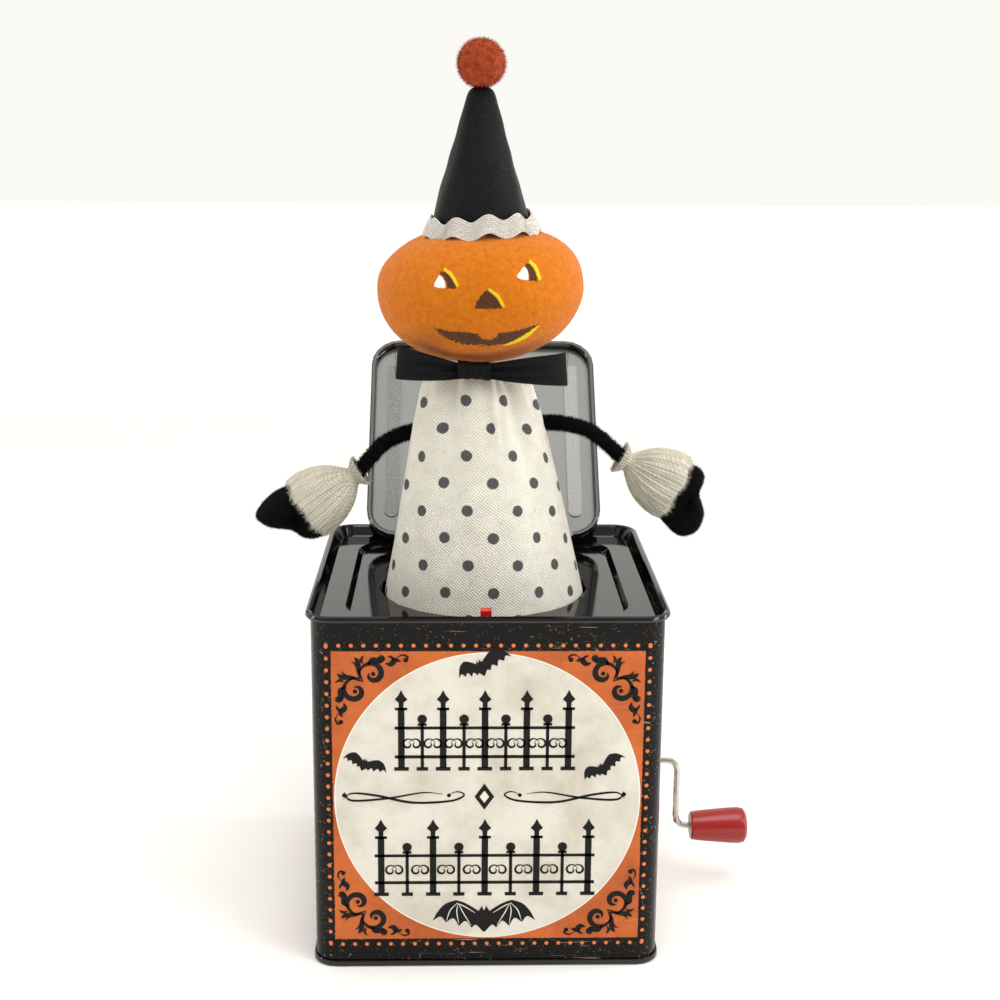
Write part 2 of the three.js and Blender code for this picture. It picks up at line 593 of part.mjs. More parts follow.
function hatGeometry() {
  return skin([hatRing(-2.7, 296.4, 19.6, HEAD_ROLL), hatRing(-3.1, 304, 18.4, HEAD_ROLL * 0.8),
    hatRing(-3.3, 317, 14.6, HEAD_ROLL * 0.5), hatRing(-3.4, 333, 10, 0.01), hatRing(-3.2, 348.4, 5.3, 0)]);
}

function hatTrim() {
  return skin([hatRing(-2.5, 292.3, 24.5, HEAD_ROLL), hatRing(-2.7, 298.6, 21.4, HEAD_ROLL),
    hatRing(-2.7, 298.6, 20.4, HEAD_ROLL), hatRing(-2.5, 292.7, 23.4, HEAD_ROLL)], true);
}

// One loop of the bow: a flattened satin tube, narrow at the knot and full at its end.
function bowLoop(side, endX, endZ, endHalf) {
  const knotX = -5.7;
  const rows = [0, 0.3, 0.7, 1].map((s) => {
    const x = knotX + side * 7.4 + s * (endX - knotX - side * 7.4);
    const y = -24.6 + 3.6 * s * s;
    return uprightRing(x, y, 239 + (endZ - 239) * s, 2 + 1.6 * Math.sin(Math.PI * s * 0.6),
      3.1 + (endHalf - 3.1) * s ** 0.8);
  });
  return skin(rows);
}

add('pumpkin_head', headGeometry(), orangeFelt, doll);
add('hat', hatGeometry(), blackSatin, doll);
add('hat_trim', hatTrim(), creamLinen, doll);
add('bow_left_loop', bowLoop(-1, -37, 242, 6.8), blackSatin, doll);
add('bow_right_loop', bowLoop(1, 32.4, 239.4, 6.6), blackSatin, doll);
add('bow_knot', skin([-6.7, -5, 5, 6.7].map((x, i) => uprightRing(-5.7 + x, -25,
  239.2 - x * 0.05, i % 3 ? 3.2 : 2.4, i % 3 ? 3.9 : 3.4))), blackSatin, doll);
add('hat_pompom', new THREE.IcosahedronGeometry(POMPOM.r, 2).translate(POMPOM.x, 0, POMPOM.z), rustWool, doll);

// ---------------------------------------------------------------- arms
class ThroughPoints extends THREE.CatmullRomCurve3 {
  constructor(points) {
    super(points.map(([x, z]) => new THREE.Vector3(x, 0, z)), false, 'centripetal');
  }
}
const LEFT = {
  wrist: [-56.2, 190.2], mouth: [-75.6, 176.6],
  stem: [[-21.9, 210.6], [-30.5, 209.6], [-43, 204.4], [-56.2, 190.2], [-72.6, 178.8]],
  hand: [[-69.5, 184.6], [-80.5, 186.6], [-90.5, 182.6], [-97.6, 173.8], [-93, 168.6], [-82.5, 166.9],
    [-76.5, 163.4], [-70.5, 163.9], [-67.2, 168.4]],
};
const RIGHT = {
  wrist: [59.6, 196.6], mouth: [79.3, 185.4],
  stem: [[20, 212.6], [30.5, 213.2], [44.5, 209.2], [59.6, 196.6], [75.6, 187.6]],
  hand: [[83.5, 190.6], [88.5, 194.6], [92.2, 190.6], [90, 184.2], [92.6, 174.6], [90, 166.8], [83.6, 164.3],
    [77.6, 168.3], [73.4, 176.2]],
};

// The way that an arm takes through the cloth round it.
function armHole(arm) {
  return tube(new ThroughPoints(arm.stem), ARM_R + 0.6, 20, 8);
}

// The gathered sleeve end: a thin cone drawn in at the wrist and open at the hand.
function cuffGeometry(arm) {
  const { wrist, mouth } = arm;
  const from = new THREE.Vector3(wrist[0], 0, wrist[1]);
  const along = new THREE.Vector3(mouth[0], 0, mouth[1]).sub(from);
  const length = along.length();
  const cone = turned([[4.2, -3], [6.6, -3.6], [5.4, 0], [9.5, 4], [13.4, 11], [14.8, length],
    [13.9, length], [8.6, 4.8], [4.2, 1]], 12);
  const turn = new THREE.Quaternion().setFromUnitVectors(new THREE.Vector3(0, 0, 1), along.normalize());
  return cut(cone.applyQuaternion(turn).translate(from.x, 0, from.z), armHole(arm));
}

// A stuffed felt mitten: its outline in the XZ plane, given a rounded thickness.
function handGeometry(arm) {
  const loop = new THREE.CatmullRomCurve3(
    arm.hand.map(([x, z]) => new THREE.Vector3(x, z, 0)), true, 'centripetal');
  const outline = loop.getPoints(22).slice(0, -1);
  const middle = outline.reduce((sum, v) => sum.add(v), new THREE.Vector3()).divideScalar(outline.length);
  const rings = [[0.62, -7], [0.9, -5], [1, 0], [0.9, 5], [0.62, 7]].map(([size, y]) => outline.map((v) => {
    const flat = v.clone().sub(middle).multiplyScalar(size).add(middle);
    return new THREE.Vector3(flat.x, y, flat.y);
  }));
  return cut(skin(rings), armHole(arm));
}

add('arm_ring', washer(16.2, 18.8, 208.6, 213.6, 20), bareSteel, doll);
for (const [side, arm] of [['left', LEFT], ['right', RIGHT]]) {
  add(`${side}_arm`, tube(new ThroughPoints(arm.stem), ARM_R, 18, 8), blackChenille, doll);
  add(`${side}_cuff`, cuffGeometry(arm), creamGauze, doll);
  add(`${side}_hand`, handGeometry(arm), blackFelt, doll);
}

// ---------------------------------------------------------------- dress
// An open-ended cloth cone, drawn in to the neck, with a slit for each arm.
function dressGeometry() {
  const wall = [[42.2, 140.6], [40.3, 150], [34.7, 180], [28.2, 212], [23.4, 230], [19.6, 235.6], [8, 237.4],
    [8, 236.2], [18.6, 234.6], [22.2, 229.6], [33.5, 180], [41, 140.6]];
  return cut(turned(wall, 22), armHole(LEFT), armHole(RIGHT));
}
add('dress', dressGeometry(), creamLinen, doll);

export default group;
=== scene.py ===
# %% [markdown]
# # A jack in the box, finished in Blender
# The real one is a printed tin with a black rolled rim. A cloth doll stands out of it on a spring: a felt
# pumpkin head under a satin hat, a dotted linen dress, and chenille arms with gauze cuffs.
# Its sizes, hinges and moving bodies come from the fixed frame. This lesson adds what the eye sees.
# We could repaint the frame alone, but cloth, fuzz and print need shapes of their own. So each soft
# piece is worked out as arrays of points, and stands in for the plain solid of the frame.

# %% Start from the fixed frame
import json
import math

import bmesh
import bpy
import numpy as np
from mathutils import Matrix, Vector


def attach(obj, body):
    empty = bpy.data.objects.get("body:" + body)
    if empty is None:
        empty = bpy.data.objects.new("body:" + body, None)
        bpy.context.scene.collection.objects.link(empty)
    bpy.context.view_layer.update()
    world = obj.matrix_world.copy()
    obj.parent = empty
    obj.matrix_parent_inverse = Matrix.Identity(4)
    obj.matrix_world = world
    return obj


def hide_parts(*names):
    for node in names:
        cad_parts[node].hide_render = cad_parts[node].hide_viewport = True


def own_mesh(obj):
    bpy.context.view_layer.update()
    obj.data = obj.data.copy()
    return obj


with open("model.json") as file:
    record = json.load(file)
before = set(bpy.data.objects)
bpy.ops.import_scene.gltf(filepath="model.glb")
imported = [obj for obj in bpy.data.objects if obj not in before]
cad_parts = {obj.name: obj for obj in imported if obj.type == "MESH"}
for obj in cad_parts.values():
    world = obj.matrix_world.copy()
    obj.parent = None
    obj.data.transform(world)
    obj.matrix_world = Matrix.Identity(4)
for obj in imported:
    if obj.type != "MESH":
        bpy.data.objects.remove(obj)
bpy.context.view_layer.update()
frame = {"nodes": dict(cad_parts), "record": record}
MM = 0.001
rng = np.random.default_rng(31)

# %% [markdown]
# ## The camera
# It stands a little above the tin's lid, two thirds of a metre away, and looks slightly down.
# A camera could be aimed with a constraint. Three angles and a place say the same and stay put.

# %% Place the camera
yaw, pitch, roll = np.radians([1.54, 12.63, 0.44])
forward = Vector((math.sin(yaw) * math.cos(pitch), math.cos(yaw) * math.cos(pitch), -math.sin(pitch)))
level = Vector((math.cos(yaw), -math.sin(yaw), 0))
rise = level.cross(forward)
right = math.cos(roll) * level + math.sin(roll) * rise
up = math.cos(roll) * rise - math.sin(roll) * level
lens = bpy.data.cameras.new("camera")
lens.lens, lens.sensor_width, lens.shift_y, lens.clip_end = 55.74, 36, -0.03, 20
camera = bpy.data.objects.new("camera", lens)
bpy.context.scene.collection.objects.link(camera)
turn = Matrix((right, up, -forward)).transposed().to_4x4()
camera.matrix_world = Matrix.Translation(Vector((-11.5, -643.6, 336)) * MM) @ turn
bpy.context.scene.camera = camera
bpy.context.scene.view_settings.view_transform = "Standard"
print("camera at", [round(v, 3) for v in camera.location])

# %% [markdown]
# ## Helpers for colour and nodes
# Colours are written as the sRGB hex values one would mix paint to, and one function turns them
# to the linear values that light works in. One more adds a shader node with its settings and links.
# A helper for each kind of node would hide what the nodes are, so there is only this one.


# %% Colour, node and finish
def linear(colour):
    """An sRGB hex colour as linear red, green, blue and alpha. Each channel is divided by 12.92 where it
    is dark, and otherwise shifted by 0.055, divided by 1.055 and raised to the power 2.4."""
    c = np.array([int(colour[i:i + 2], 16) / 255 for i in (1, 3, 5)])
    return (*np.where(c <= 0.04045, c / 12.92, ((c + 0.055) / 1.055) ** 2.4), 1)


def plug(made, inputs):
    """Fills a node's inputs, given by name or number. A value is set, and a socket is linked, or a
    node's first working output."""
    for socket, value in dict(inputs).items():
        if isinstance(value, bpy.types.Node):
            value = next(out for out in value.outputs if out.enabled)
        if isinstance(value, bpy.types.NodeSocket):
            made.id_data.links.new(value, made.inputs[socket])
        else:
            made.inputs[socket].default_value = value


def node(tree, kind, inputs=(), **settings):
    """Adds one shader node with its own settings, and fills its inputs."""
    made = tree.nodes.new("ShaderNode" + kind)
    for name, value in settings.items():
        setattr(made, name, value)
    plug(made, inputs)
    return made


def finish(name, sockets):
    """A material named for what it is, its shader's own sockets set to fixed values."""
    material = bpy.data.materials.new(name)
    material.use_nodes = True
    shader = material.node_tree.nodes["Principled BSDF"]
    plug(shader, sockets)
    return material, material.node_tree, shader


# %% [markdown]
# ## Room and light
# A product is lit with large soft boxes, and black enamel shows nothing but them. A pale room lights
# the cloth evenly, and the sky behind the tin is what its top mirrors. The side in front of the tin
# stays dim, so that the black print keeps its depth.

# %% Floor, world and soft boxes
room = bpy.data.worlds.new("pale_room")
bpy.context.scene.world = room
room.use_nodes = True
tree = room.node_tree
way = node(tree, "SeparateXYZ", {0: node(tree, "TexCoord").outputs["Generated"]})
backness = node(tree, "MapRange", {0: way.outputs["Y"], 1: -0.9, 2: 0.35, 3: 0.42, 4: 0.97})
plug(tree.nodes["Background"], {"Strength": backness, "Color": linear("#fffdf8")})


def soft_box(name, place, size, power, aim=(0, 0, 0.19)):
    """A rectangular light that isn't seen itself, only what it lights and where it is mirrored."""
    light = bpy.data.lights.new(name, "AREA")
    light.shape, light.energy = "RECTANGLE", power
    light.size, light.size_y = size
    lamp = bpy.data.objects.new(name, light)
    bpy.context.scene.collection.objects.link(lamp)
    lamp.location = place
    lamp.rotation_euler = (Vector(aim) - Vector(place)).to_track_quat("-Z", "Y").to_euler()
    lamp.visible_camera = False
    return lamp


soft_box("overhead_box", (0.1, -0.35, 1.35), (1.0, 0.8), 9)
soft_box("right_box", (1.0, -0.75, 0.75), (0.5, 0.9), 7)
soft_box("left_strip", (-0.95, -0.1, 0.35), (0.12, 1.1), 3)
soft_box("right_strip", (0.85, 0.1, 0.3), (0.12, 1.1), 3)
bpy.ops.mesh.primitive_plane_add(size=12)
floor = bpy.context.object
floor.name = "floor"
pale, tree, shader = finish("pale_paper", {
    "Base Color": linear("#f4f3f0"), "Roughness": 0.9, "Emission Color": linear("#fffdf8")})
# The floor glows a little away from the tin, so that the backdrop stays pale with no light near it.
far = node(tree, "VectorMath", {0: node(tree, "TexCoord").outputs["Object"]}, operation="LENGTH")
lit = node(tree, "MapRange", {0: far.outputs["Value"], 1: 0.4, 2: 2.2, 3: 0.0, 4: 0.42})
plug(shader, {"Emission Strength": lit})
floor.data.materials.append(pale)
print("four soft boxes over a pale floor")

# %% [markdown]
# ## Helpers for surfaces
# A new piece is a grid of points: a function of two parameters, worked out for the whole grid at once.
# The same grid gives its faces and, where a pattern follows the cloth, its map in millimetres.
# Modelling tools could draw these shapes by hand. A formula keeps them exact and easy to change.


# %% Grids, pieces, tubes and fibres
def quads(rows, columns, around=True, along=False):
    """The faces of a grid, four point numbers each. Around joins the last column to the first,
    and along the last row to the first."""
    r = np.arange(rows if along else rows - 1)
    c = np.arange(columns if around else columns - 1)
    r, c = (v.ravel() for v in np.meshgrid(r, c, indexing="ij"))
    r2, c2 = (r + 1) % rows, (c + 1) % columns
    return np.stack([r * columns + c, r * columns + c2, r2 * columns + c2, r2 * columns + c], 1)


def corner_map(u, v):
    """The map of a grid that is closed around: u and v have one column more than the points, so that
    the last face ends where the cloth's edge is and not back at zero."""
    take = [np.s_[:-1, :-1], np.s_[:-1, 1:], np.s_[1:, 1:], np.s_[1:, :-1]]
    return np.stack([np.stack([u[k].ravel(), v[k].ravel()], 1) for k in take], 1)


def join_frame(made, body):
    """Ties a piece to the body that it moves with."""
    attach(made, body)


def piece(name, points, faces, material, body, uv=None, caps=(), sharp=40):
    """A mesh from points in millimetres, with its faces turned outwards: the volume between them and
    the middle is added up, and where it is negative every face is reversed. It rides on a body."""
    points = np.asarray(points, float).reshape(-1, 3)
    fans = [np.asarray(cap) for cap in caps]
    around = [(faces[:, 0], faces[:, k], faces[:, k + 1]) for k in range(1, faces.shape[1] - 1)]
    around += [(np.full(len(f) - 2, f[0]), f[1:-1], f[2:]) for f in fans]
    a, b, c = (points[np.concatenate(part)] - points.mean(0) for part in zip(*around))
    if np.einsum("ij,ij->", a, np.cross(b, c)) < 0:
        faces, fans = faces[:, ::-1], [f[::-1] for f in fans]
        uv = None if uv is None else uv[:, ::-1]
    mesh = bpy.data.meshes.new(name)
    mesh.from_pydata((points * MM).tolist(), [], faces.tolist() + [f.tolist() for f in fans])
    if uv is not None:
        flat = np.zeros((len(mesh.loops), 2), np.float32)
        flat[:uv.shape[0] * uv.shape[1]] = uv.reshape(-1, 2)
        mesh.uv_layers.new(name="cloth").data.foreach_set("uv", flat.ravel())
    mesh.materials.append(material)
    made = bpy.data.objects.new(name, mesh)
    bpy.context.scene.collection.objects.link(made)
    mesh.polygons.foreach_set("use_smooth", np.ones(len(mesh.polygons), bool))
    mesh.set_sharp_from_angle(angle=math.radians(sharp))
    join_frame(made, body)
    return made


def unit(v):
    """Vectors of length one."""
    return v / np.linalg.norm(v, axis=-1, keepdims=True)


def tube(name, path, radius, material, body, side, sides=12, **more):
    """A bar along a path. Its section is a circle between two directions: one square to both the path
    and a fixed side vector, the other square to the path and the first."""
    path = np.asarray(path, float)
    along = unit(np.gradient(path, axis=0))
    first = unit(np.cross(along, side))
    second = np.cross(along, first)
    angle = np.linspace(0, 2 * np.pi, sides, endpoint=False)
    radius = np.broadcast_to(radius, len(path))[:, None, None]
    ring = first[:, None] * np.cos(angle)[:, None] + second[:, None] * np.sin(angle)[:, None]
    points = path[:, None] + radius * ring
    n = len(path)
    caps = (np.arange(sides)[::-1], (n - 1) * sides + np.arange(sides))
    return piece(name, points, quads(n, sides), material, body, caps=caps, **more)


def fibres(name, roots, ways, lengths, width, material, body):
    """Thin three-sided spikes. Each has three base points round its root, a third of a turn apart,
    and a tip that lies its length away along its direction."""
    n = len(roots)
    ways = unit(ways)
    first = unit(np.cross(ways, rng.normal(size=(n, 3))))
    second = np.cross(ways, first)
    angle = np.arange(3) * 2 * np.pi / 3
    base = roots[:, None] + width * (first[:, None] * np.cos(angle)[:, None]
                                     + second[:, None] * np.sin(angle)[:, None])
    points = np.concatenate([base, (roots + ways * np.reshape(lengths, (-1, 1)))[:, None]], 1)
    one = np.array([[0, 1, 3], [1, 2, 3], [2, 0, 3], [0, 2, 1]])
    faces = (one + 4 * np.arange(n)[:, None, None]).reshape(-1, 3)
    return piece(name, points, faces, material, body)


def smooth_copy(name, material, body, sharp=32):
    """A frame node's shape with its corners merged and its shallow facets shaded as one curve. Large
    faces weigh most in the shading, so flat sheet stays flat right up to its bends."""
    source = frame["nodes"][name]
    mesh = source.data.copy()
    welded = bmesh.new()
    welded.from_mesh(mesh)
    bmesh.ops.remove_doubles(welded, verts=welded.verts, dist=2e-6)
    welded.to_mesh(mesh)
    welded.free()
    for attribute in ("custom_normal", "sharp_edge"):
        if attribute in mesh.attributes:
            mesh.attributes.remove(mesh.attributes[attribute])
    mesh.polygons.foreach_set("use_smooth", np.ones(len(mesh.polygons), bool))
    mesh.set_sharp_from_angle(angle=math.radians(sharp))
    mesh.materials.clear()
    mesh.materials.append(material)
    made = bpy.data.objects.new(name + "_finished", mesh)
    bpy.context.scene.collection.objects.link(made)
    weigh = made.modifiers.new("flat_faces_first", "WEIGHTED_NORMAL")
    weigh.keep_sharp, weigh.weight = True, 90
    join_frame(made, body)
    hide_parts(name)
    return made


print("helpers ready")

# %% [markdown]
# ## Black stoving enamel
# The rim, the top and the base are black enamel baked on tinplate: a glassy coat that mirrors the
# room, with faint waves where the sheet was pressed and hairlines from handling. The shader's own
# reflection gives the mirror. The bump is less than a tenth of a millimetre high over centimetres.

# %% Enamel for the top, the base and the lid's outside
enamel, tree, shader = finish("black_stoving_enamel", {"Base Color": linear("#080808"), "IOR": 1.52})
place = node(tree, "TexCoord").outputs["Object"]
wave = node(tree, "TexNoise", {"Vector": place, "Scale": 34, "Detail": 1})
stretch = node(tree, "Mapping", {0: place, 2: (0.4, 0.7, 0.2), 3: (60, 900, 300)})
hairs = node(tree, "TexNoise", {"Vector": stretch, "Scale": 1, "Detail": 3})
marks = node(tree, "MapRange", {0: hairs, 1: 0.66, 2: 0.74, 3: 0.07, 4: 0.3})
plug(shader, {"Roughness": marks})
bump = node(tree, "Bump", {"Height": wave, "Strength": 0.06, "Distance": 0.0012})
plug(shader, {"Normal": bump})
top = smooth_copy("top_panel", enamel, "tin")
base = smooth_copy("tin_base", enamel, "tin")
print("enamel on", top.name, "and", base.name)

# %% [markdown]
# ## The lid: two finishes on one sheet
# Outside, the lid is the same enamel. Inside, the tinplate is bare under a clear lacquer, dull and grey,
# with a pressed rib down each side. Two materials on two meshes would need a cut along the rim.
# It is simpler to ask each point where it lies: the lid is turned back to its closed place in the
# shader, and what lies under the outer face and inside the skirt is the bare side.

# %% Lacquered tinplate inside, enamel outside
pin = np.array([0, 57, 145.8]) * MM
opened = math.radians(132)
lid_finish, tree, shader = finish("lid_enamel_and_lacquer", {"IOR": 1.52})
back = Matrix.Rotation(opened, 3, "X") @ Vector(-pin)
shut = node(tree, "Mapping", {
    0: node(tree, "TexCoord").outputs["Object"], 1: back, 2: (opened, 0, 0)})
middle = node(tree, "VectorMath", {0: shut, 1: (0, 0.055, 0)}, operation="ADD")
flat = node(tree, "VectorMath", {0: middle}, operation="ABSOLUTE")
past = node(tree, "VectorMath", {0: flat, 1: (0.0402, 0.0402, 1)}, operation="SUBTRACT")
past = node(tree, "VectorMath", {0: past, 1: (0, 0, 0)}, operation="MAXIMUM")
reach = node(tree, "VectorMath", {0: past}, operation="LENGTH").outputs["Value"]
inner = node(tree, "Math", {0: reach, 1: 0.0125}, operation="LESS_THAN")
height = node(tree, "SeparateXYZ", {0: middle})
under = node(tree, "Math", {0: height.outputs["Z"], 1: 0.0012}, operation="LESS_THAN")
bare = node(tree, "Math", {0: inner, 1: under}, operation="MULTIPLY")
# The ribs stand 43.5 mm either side of the middle and are 6.8 mm wide. They are drawn only in colour:
# the left rib in painted shade, darker than the plate, and the right one as a painted highlight, lighter
# and speckled.
side = node(tree, "Math", {0: height.outputs["X"]}, operation="ABSOLUTE")
off = node(tree, "Math", {0: side, 1: 0.0435}, operation="SUBTRACT")
off = node(tree, "Math", {0: off}, operation="ABSOLUTE")
rib = node(tree, "MapRange", {0: off, 1: 0.003, 2: 0.0035, 3: 1.0, 4: 0.0})
ends = node(tree, "Math", {0: height.outputs["Y"]}, operation="ABSOLUTE")
rib_end = node(tree, "MapRange", {0: ends, 1: 0.0415, 2: 0.0425, 3: 1.0, 4: 0.0})
rib = node(tree, "Math", {0: rib, 1: rib_end}, operation="MULTIPLY")
grain = node(tree, "TexNoise", {"Vector": shut, "Scale": 900, "Detail": 2, "Roughness": 0.7})
# Painted shade and painted highlight of the ribs: darker on the left, lighter with speckle on the right.
rib_shade_and_highlight = node(tree, "MapRange", {0: height.outputs["X"], 1: -0.01, 2: 0.01, 3: 0.1, 4: 0.2})
spots = node(tree, "MapRange", {0: grain, 1: 0.4, 2: 0.62, 3: -0.02, 4: 0.03})
rib_shade_and_highlight = node(tree, "Math", {0: rib_shade_and_highlight, 1: spots}, operation="ADD")
cloud = node(tree, "TexNoise", {"Vector": shut, "Scale": 45, "Detail": 3})
dull = node(tree, "MapRange", {0: cloud, 1: 0.3, 2: 0.7, 3: 0.13, 4: 0.145})
tone = node(tree, "Mix", {0: rib, 2: dull, 3: rib_shade_and_highlight}, data_type="FLOAT")
plate = node(tree, "ValToRGB", {0: tone})
plate.color_ramp.elements[0].color = linear("#242523")
plate.color_ramp.elements[1].color = linear("#e9eae4")
colour = node(tree, "Mix", {0: bare, 6: linear("#080808"), 7: plate}, data_type="RGBA")
plug(shader, {"Base Color": colour})
metal = node(tree, "Math", {0: bare, 1: 0.4}, operation="MULTIPLY")
rough = node(tree, "MapRange", {0: bare, 3: 0.07, 4: 0.3})
plug(shader, {"Metallic": metal, "Roughness": rough})
smooth_copy("lid_panel", lid_finish, "lid")
print("lid opened by", round(math.degrees(opened)), "degrees")

# %% [markdown]
# ## The printed wall
# The wall is lithographed: black ground, a rust orange square, a cream disc, and a border of dots,
# all printed to look worn, then varnished. An image would fix its sharpness, so the shader draws it.
# On every side the distance from the upright middle line is the smaller of |x| and |y|, and that
# with the height places each shape in millimetres. The wear is noise, cut off at a threshold.

# %% Worn lithographed tinplate
varnish = {"Roughness": 0.16, "IOR": 1.45, "Specular IOR Level": 0.2}
printed, tree, shader = finish("lithographed_tinplate", varnish)
place = node(tree, "TexCoord").outputs["Object"]
spot = node(tree, "VectorMath", {0: place, 1: (1000, 1000, 1000)}, operation="MULTIPLY")
part = node(tree, "SeparateXYZ", {
    0: node(tree, "VectorMath", {0: spot}, operation="ABSOLUTE")})
across = node(tree, "Math", {0: part.outputs["X"], 1: part.outputs["Y"]}, operation="MINIMUM")
above = node(tree, "Math", {0: part.outputs["Z"], 1: 73.5}, operation="SUBTRACT")
away = node(tree, "Math", {0: above}, operation="ABSOLUTE")
edge = node(tree, "TexNoise", {"Vector": spot, "Scale": 1.1, "Detail": 3})
nibble = node(tree, "MapRange", {0: edge, 1: 0.3, 2: 0.7, 3: -0.16, 4: 0.16})
# Orange square: both distances stay under half its side.
far = node(tree, "Math", {0: across, 1: away}, operation="MAXIMUM")
far = node(tree, "Math", {0: far, 1: nibble}, operation="ADD")
square = node(tree, "MapRange", {0: far, 1: 61.4, 2: 61.6, 3: 1.0, 4: 0.0})
# Cream disc, 122 mm across, with a paler hairline round it.
flat = node(tree, "CombineXYZ", {0: across, 1: above})
ring = node(tree, "VectorMath", {0: flat}, operation="LENGTH").outputs["Value"]
disc = node(tree, "MapRange", {0: ring, 1: 60.9, 2: 61.1, 3: 1.0, 4: 0.0})
line = node(tree, "Math", {0: ring, 1: 60.9, 2: 0.35}, operation="COMPARE")
# Dots 1.6 mm across, 4.87 mm apart, in rows at 63.8 mm above and below the middle and in columns
# 63.4 mm either side of it.
steps = []
for run, still, line_at in ((across, away, 63.8), (away, across, 63.4)):
    half = node(tree, "Math", {0: run, 1: 4.87}, operation="PINGPONG")
    nearest = node(tree, "Math", {0: half, 1: 4.87}, operation="SUBTRACT")
    nearest = node(tree, "Math", {0: half, 1: node(
        tree, "Math", {0: nearest}, operation="ABSOLUTE")}, operation="MINIMUM")
    gap = node(tree, "Math", {0: still, 1: line_at}, operation="SUBTRACT")
    pair = node(tree, "CombineXYZ", {0: nearest, 1: gap})
    steps.append(node(tree, "VectorMath", {0: pair}, operation="LENGTH").outputs["Value"])
dot = node(tree, "Math", {0: steps[0], 1: steps[1]}, operation="MINIMUM")
dot = node(tree, "MapRange", {0: dot, 1: 0.72, 2: 0.86, 3: 1.0, 4: 0.0})
inside = node(tree, "Math", {0: far, 1: 64.9}, operation="LESS_THAN")
dot = node(tree, "Math", {0: dot, 1: inside}, operation="MULTIPLY")
# Ages: blotches a few centimetres wide, flecks, and scratches drawn out along the sheet.
blotch = node(tree, "TexNoise", {"Vector": spot, "Scale": 0.05, "Detail": 5, "Roughness": 0.62})
cream = node(tree, "ValToRGB", {0: blotch})
cream.color_ramp.elements[0].position, cream.color_ramp.elements[0].color = 0.28, linear("#c3bbaa")
cream.color_ramp.elements[1].position, cream.color_ramp.elements[1].color = 0.6, linear("#e0dbcf")
rust = node(tree, "ValToRGB", {0: blotch})
rust.color_ramp.elements[0].position, rust.color_ramp.elements[0].color = 0.3, linear("#a9522a")
rust.color_ramp.elements[1].position, rust.color_ramp.elements[1].color = 0.66, linear("#cf6c33")
fleck = node(tree, "TexNoise", {"Vector": spot, "Scale": 0.75, "Detail": 6, "Roughness": 0.75})
fleck = node(tree, "MapRange", {0: fleck, 1: 0.61, 2: 0.65, 3: 0.0, 4: 1.0})
drawn = node(tree, "Mapping", {0: spot, 2: (0.2, 0.5, 0.35), 3: (0.04, 1.3, 0.9)})
scratch = node(tree, "TexNoise", {"Vector": drawn, "Scale": 1, "Detail": 4, "Roughness": 0.6})
scratch = node(tree, "MapRange", {0: scratch, 1: 0.645, 2: 0.68, 3: 0.0, 4: 1.0})
worn = node(tree, "Math", {0: fleck, 1: scratch}, operation="MAXIMUM")
patch = node(tree, "TexNoise", {"Vector": spot, "Scale": 0.06, "Detail": 2})
patch = node(tree, "MapRange", {0: patch, 1: 0.38, 2: 0.58, 3: 0.4, 4: 1.0})
worn = node(tree, "Math", {0: worn, 1: patch}, operation="MULTIPLY")
ground = node(tree, "Mix", {0: worn, 6: linear("#070605"), 7: linear("#9c8272")}, data_type="RGBA")
ground = node(tree, "Mix", {0: dot, 6: ground, 7: linear("#d9783f")}, data_type="RGBA")
nick = node(tree, "Math", {0: worn, 1: 0.22}, operation="MULTIPLY")
rust = node(tree, "Mix", {0: nick, 6: rust, 7: linear("#e8b48c")}, data_type="RGBA")
stain = node(tree, "Math", {0: fleck, 1: 0.16}, operation="MULTIPLY")
cream = node(tree, "Mix", {0: stain, 6: cream, 7: linear("#6d5a48")}, data_type="RGBA")
cream = node(tree, "Mix", {0: line, 6: cream, 7: linear("#efece4")}, data_type="RGBA")
paint = node(tree, "Mix", {0: square, 6: ground, 7: rust}, data_type="RGBA")
paint = node(tree, "Mix", {0: disc, 6: paint, 7: cream}, data_type="RGBA")
plug(shader, {"Base Color": paint})
wall = smooth_copy("tin_body", printed, "tin")
print("wall printed on", len(wall.data.polygons), "faces")

# %% [markdown]
# ## Ornament in black ink
# Over the print stand bats, leafy scrolls and a wrought iron fence, each a solid flat of one ink.
# They could be shader distances too, but tapered strokes are far easier as outlines. A stroke is a
# path and a width: its two edges lie half the width to each side, and joined they are its outline.
# Each outline becomes a film a tenth of a millimetre thick, repeated on the tin's four sides. Real ink
# is far thinner, but a film as thin as that would sink into the wall.


# %% Strokes, curls and the film of ink
def bend(points, count=14):
    """A smooth path through a few points: it leaves and enters each with the direction between its
    neighbours (a Catmull-Rom curve)."""
    p = np.asarray(points, float)
    p = np.concatenate([2 * p[:1] - p[1:2], p, 2 * p[-1:] - p[-2:-1]])
    t = np.linspace(0, 1, count, endpoint=False)[:, None, None]
    a, b, c, d = p[:-3], p[1:-2], p[2:-1], p[3:]
    curve = 0.5 * (2 * b + (c - a) * t + (2 * a - 5 * b + 4 * c - d) * t**2
                   + (3 * b - a - 3 * c + d) * t**3)
    return np.concatenate([curve.transpose(1, 0, 2).reshape(-1, p.shape[1]), p[-2:-1]])


def curl(centre, radii, turns, start, count=40):
    """A spiral: its angle grows evenly while its radius goes from the first to the second."""
    s = np.linspace(0, 1, count)
    angle, r = 2 * np.pi * (start + turns * s), radii[0] + (radii[1] - radii[0]) * s
    return np.stack([centre[0] + r * np.cos(angle), centre[1] + r * np.sin(angle)], 1)


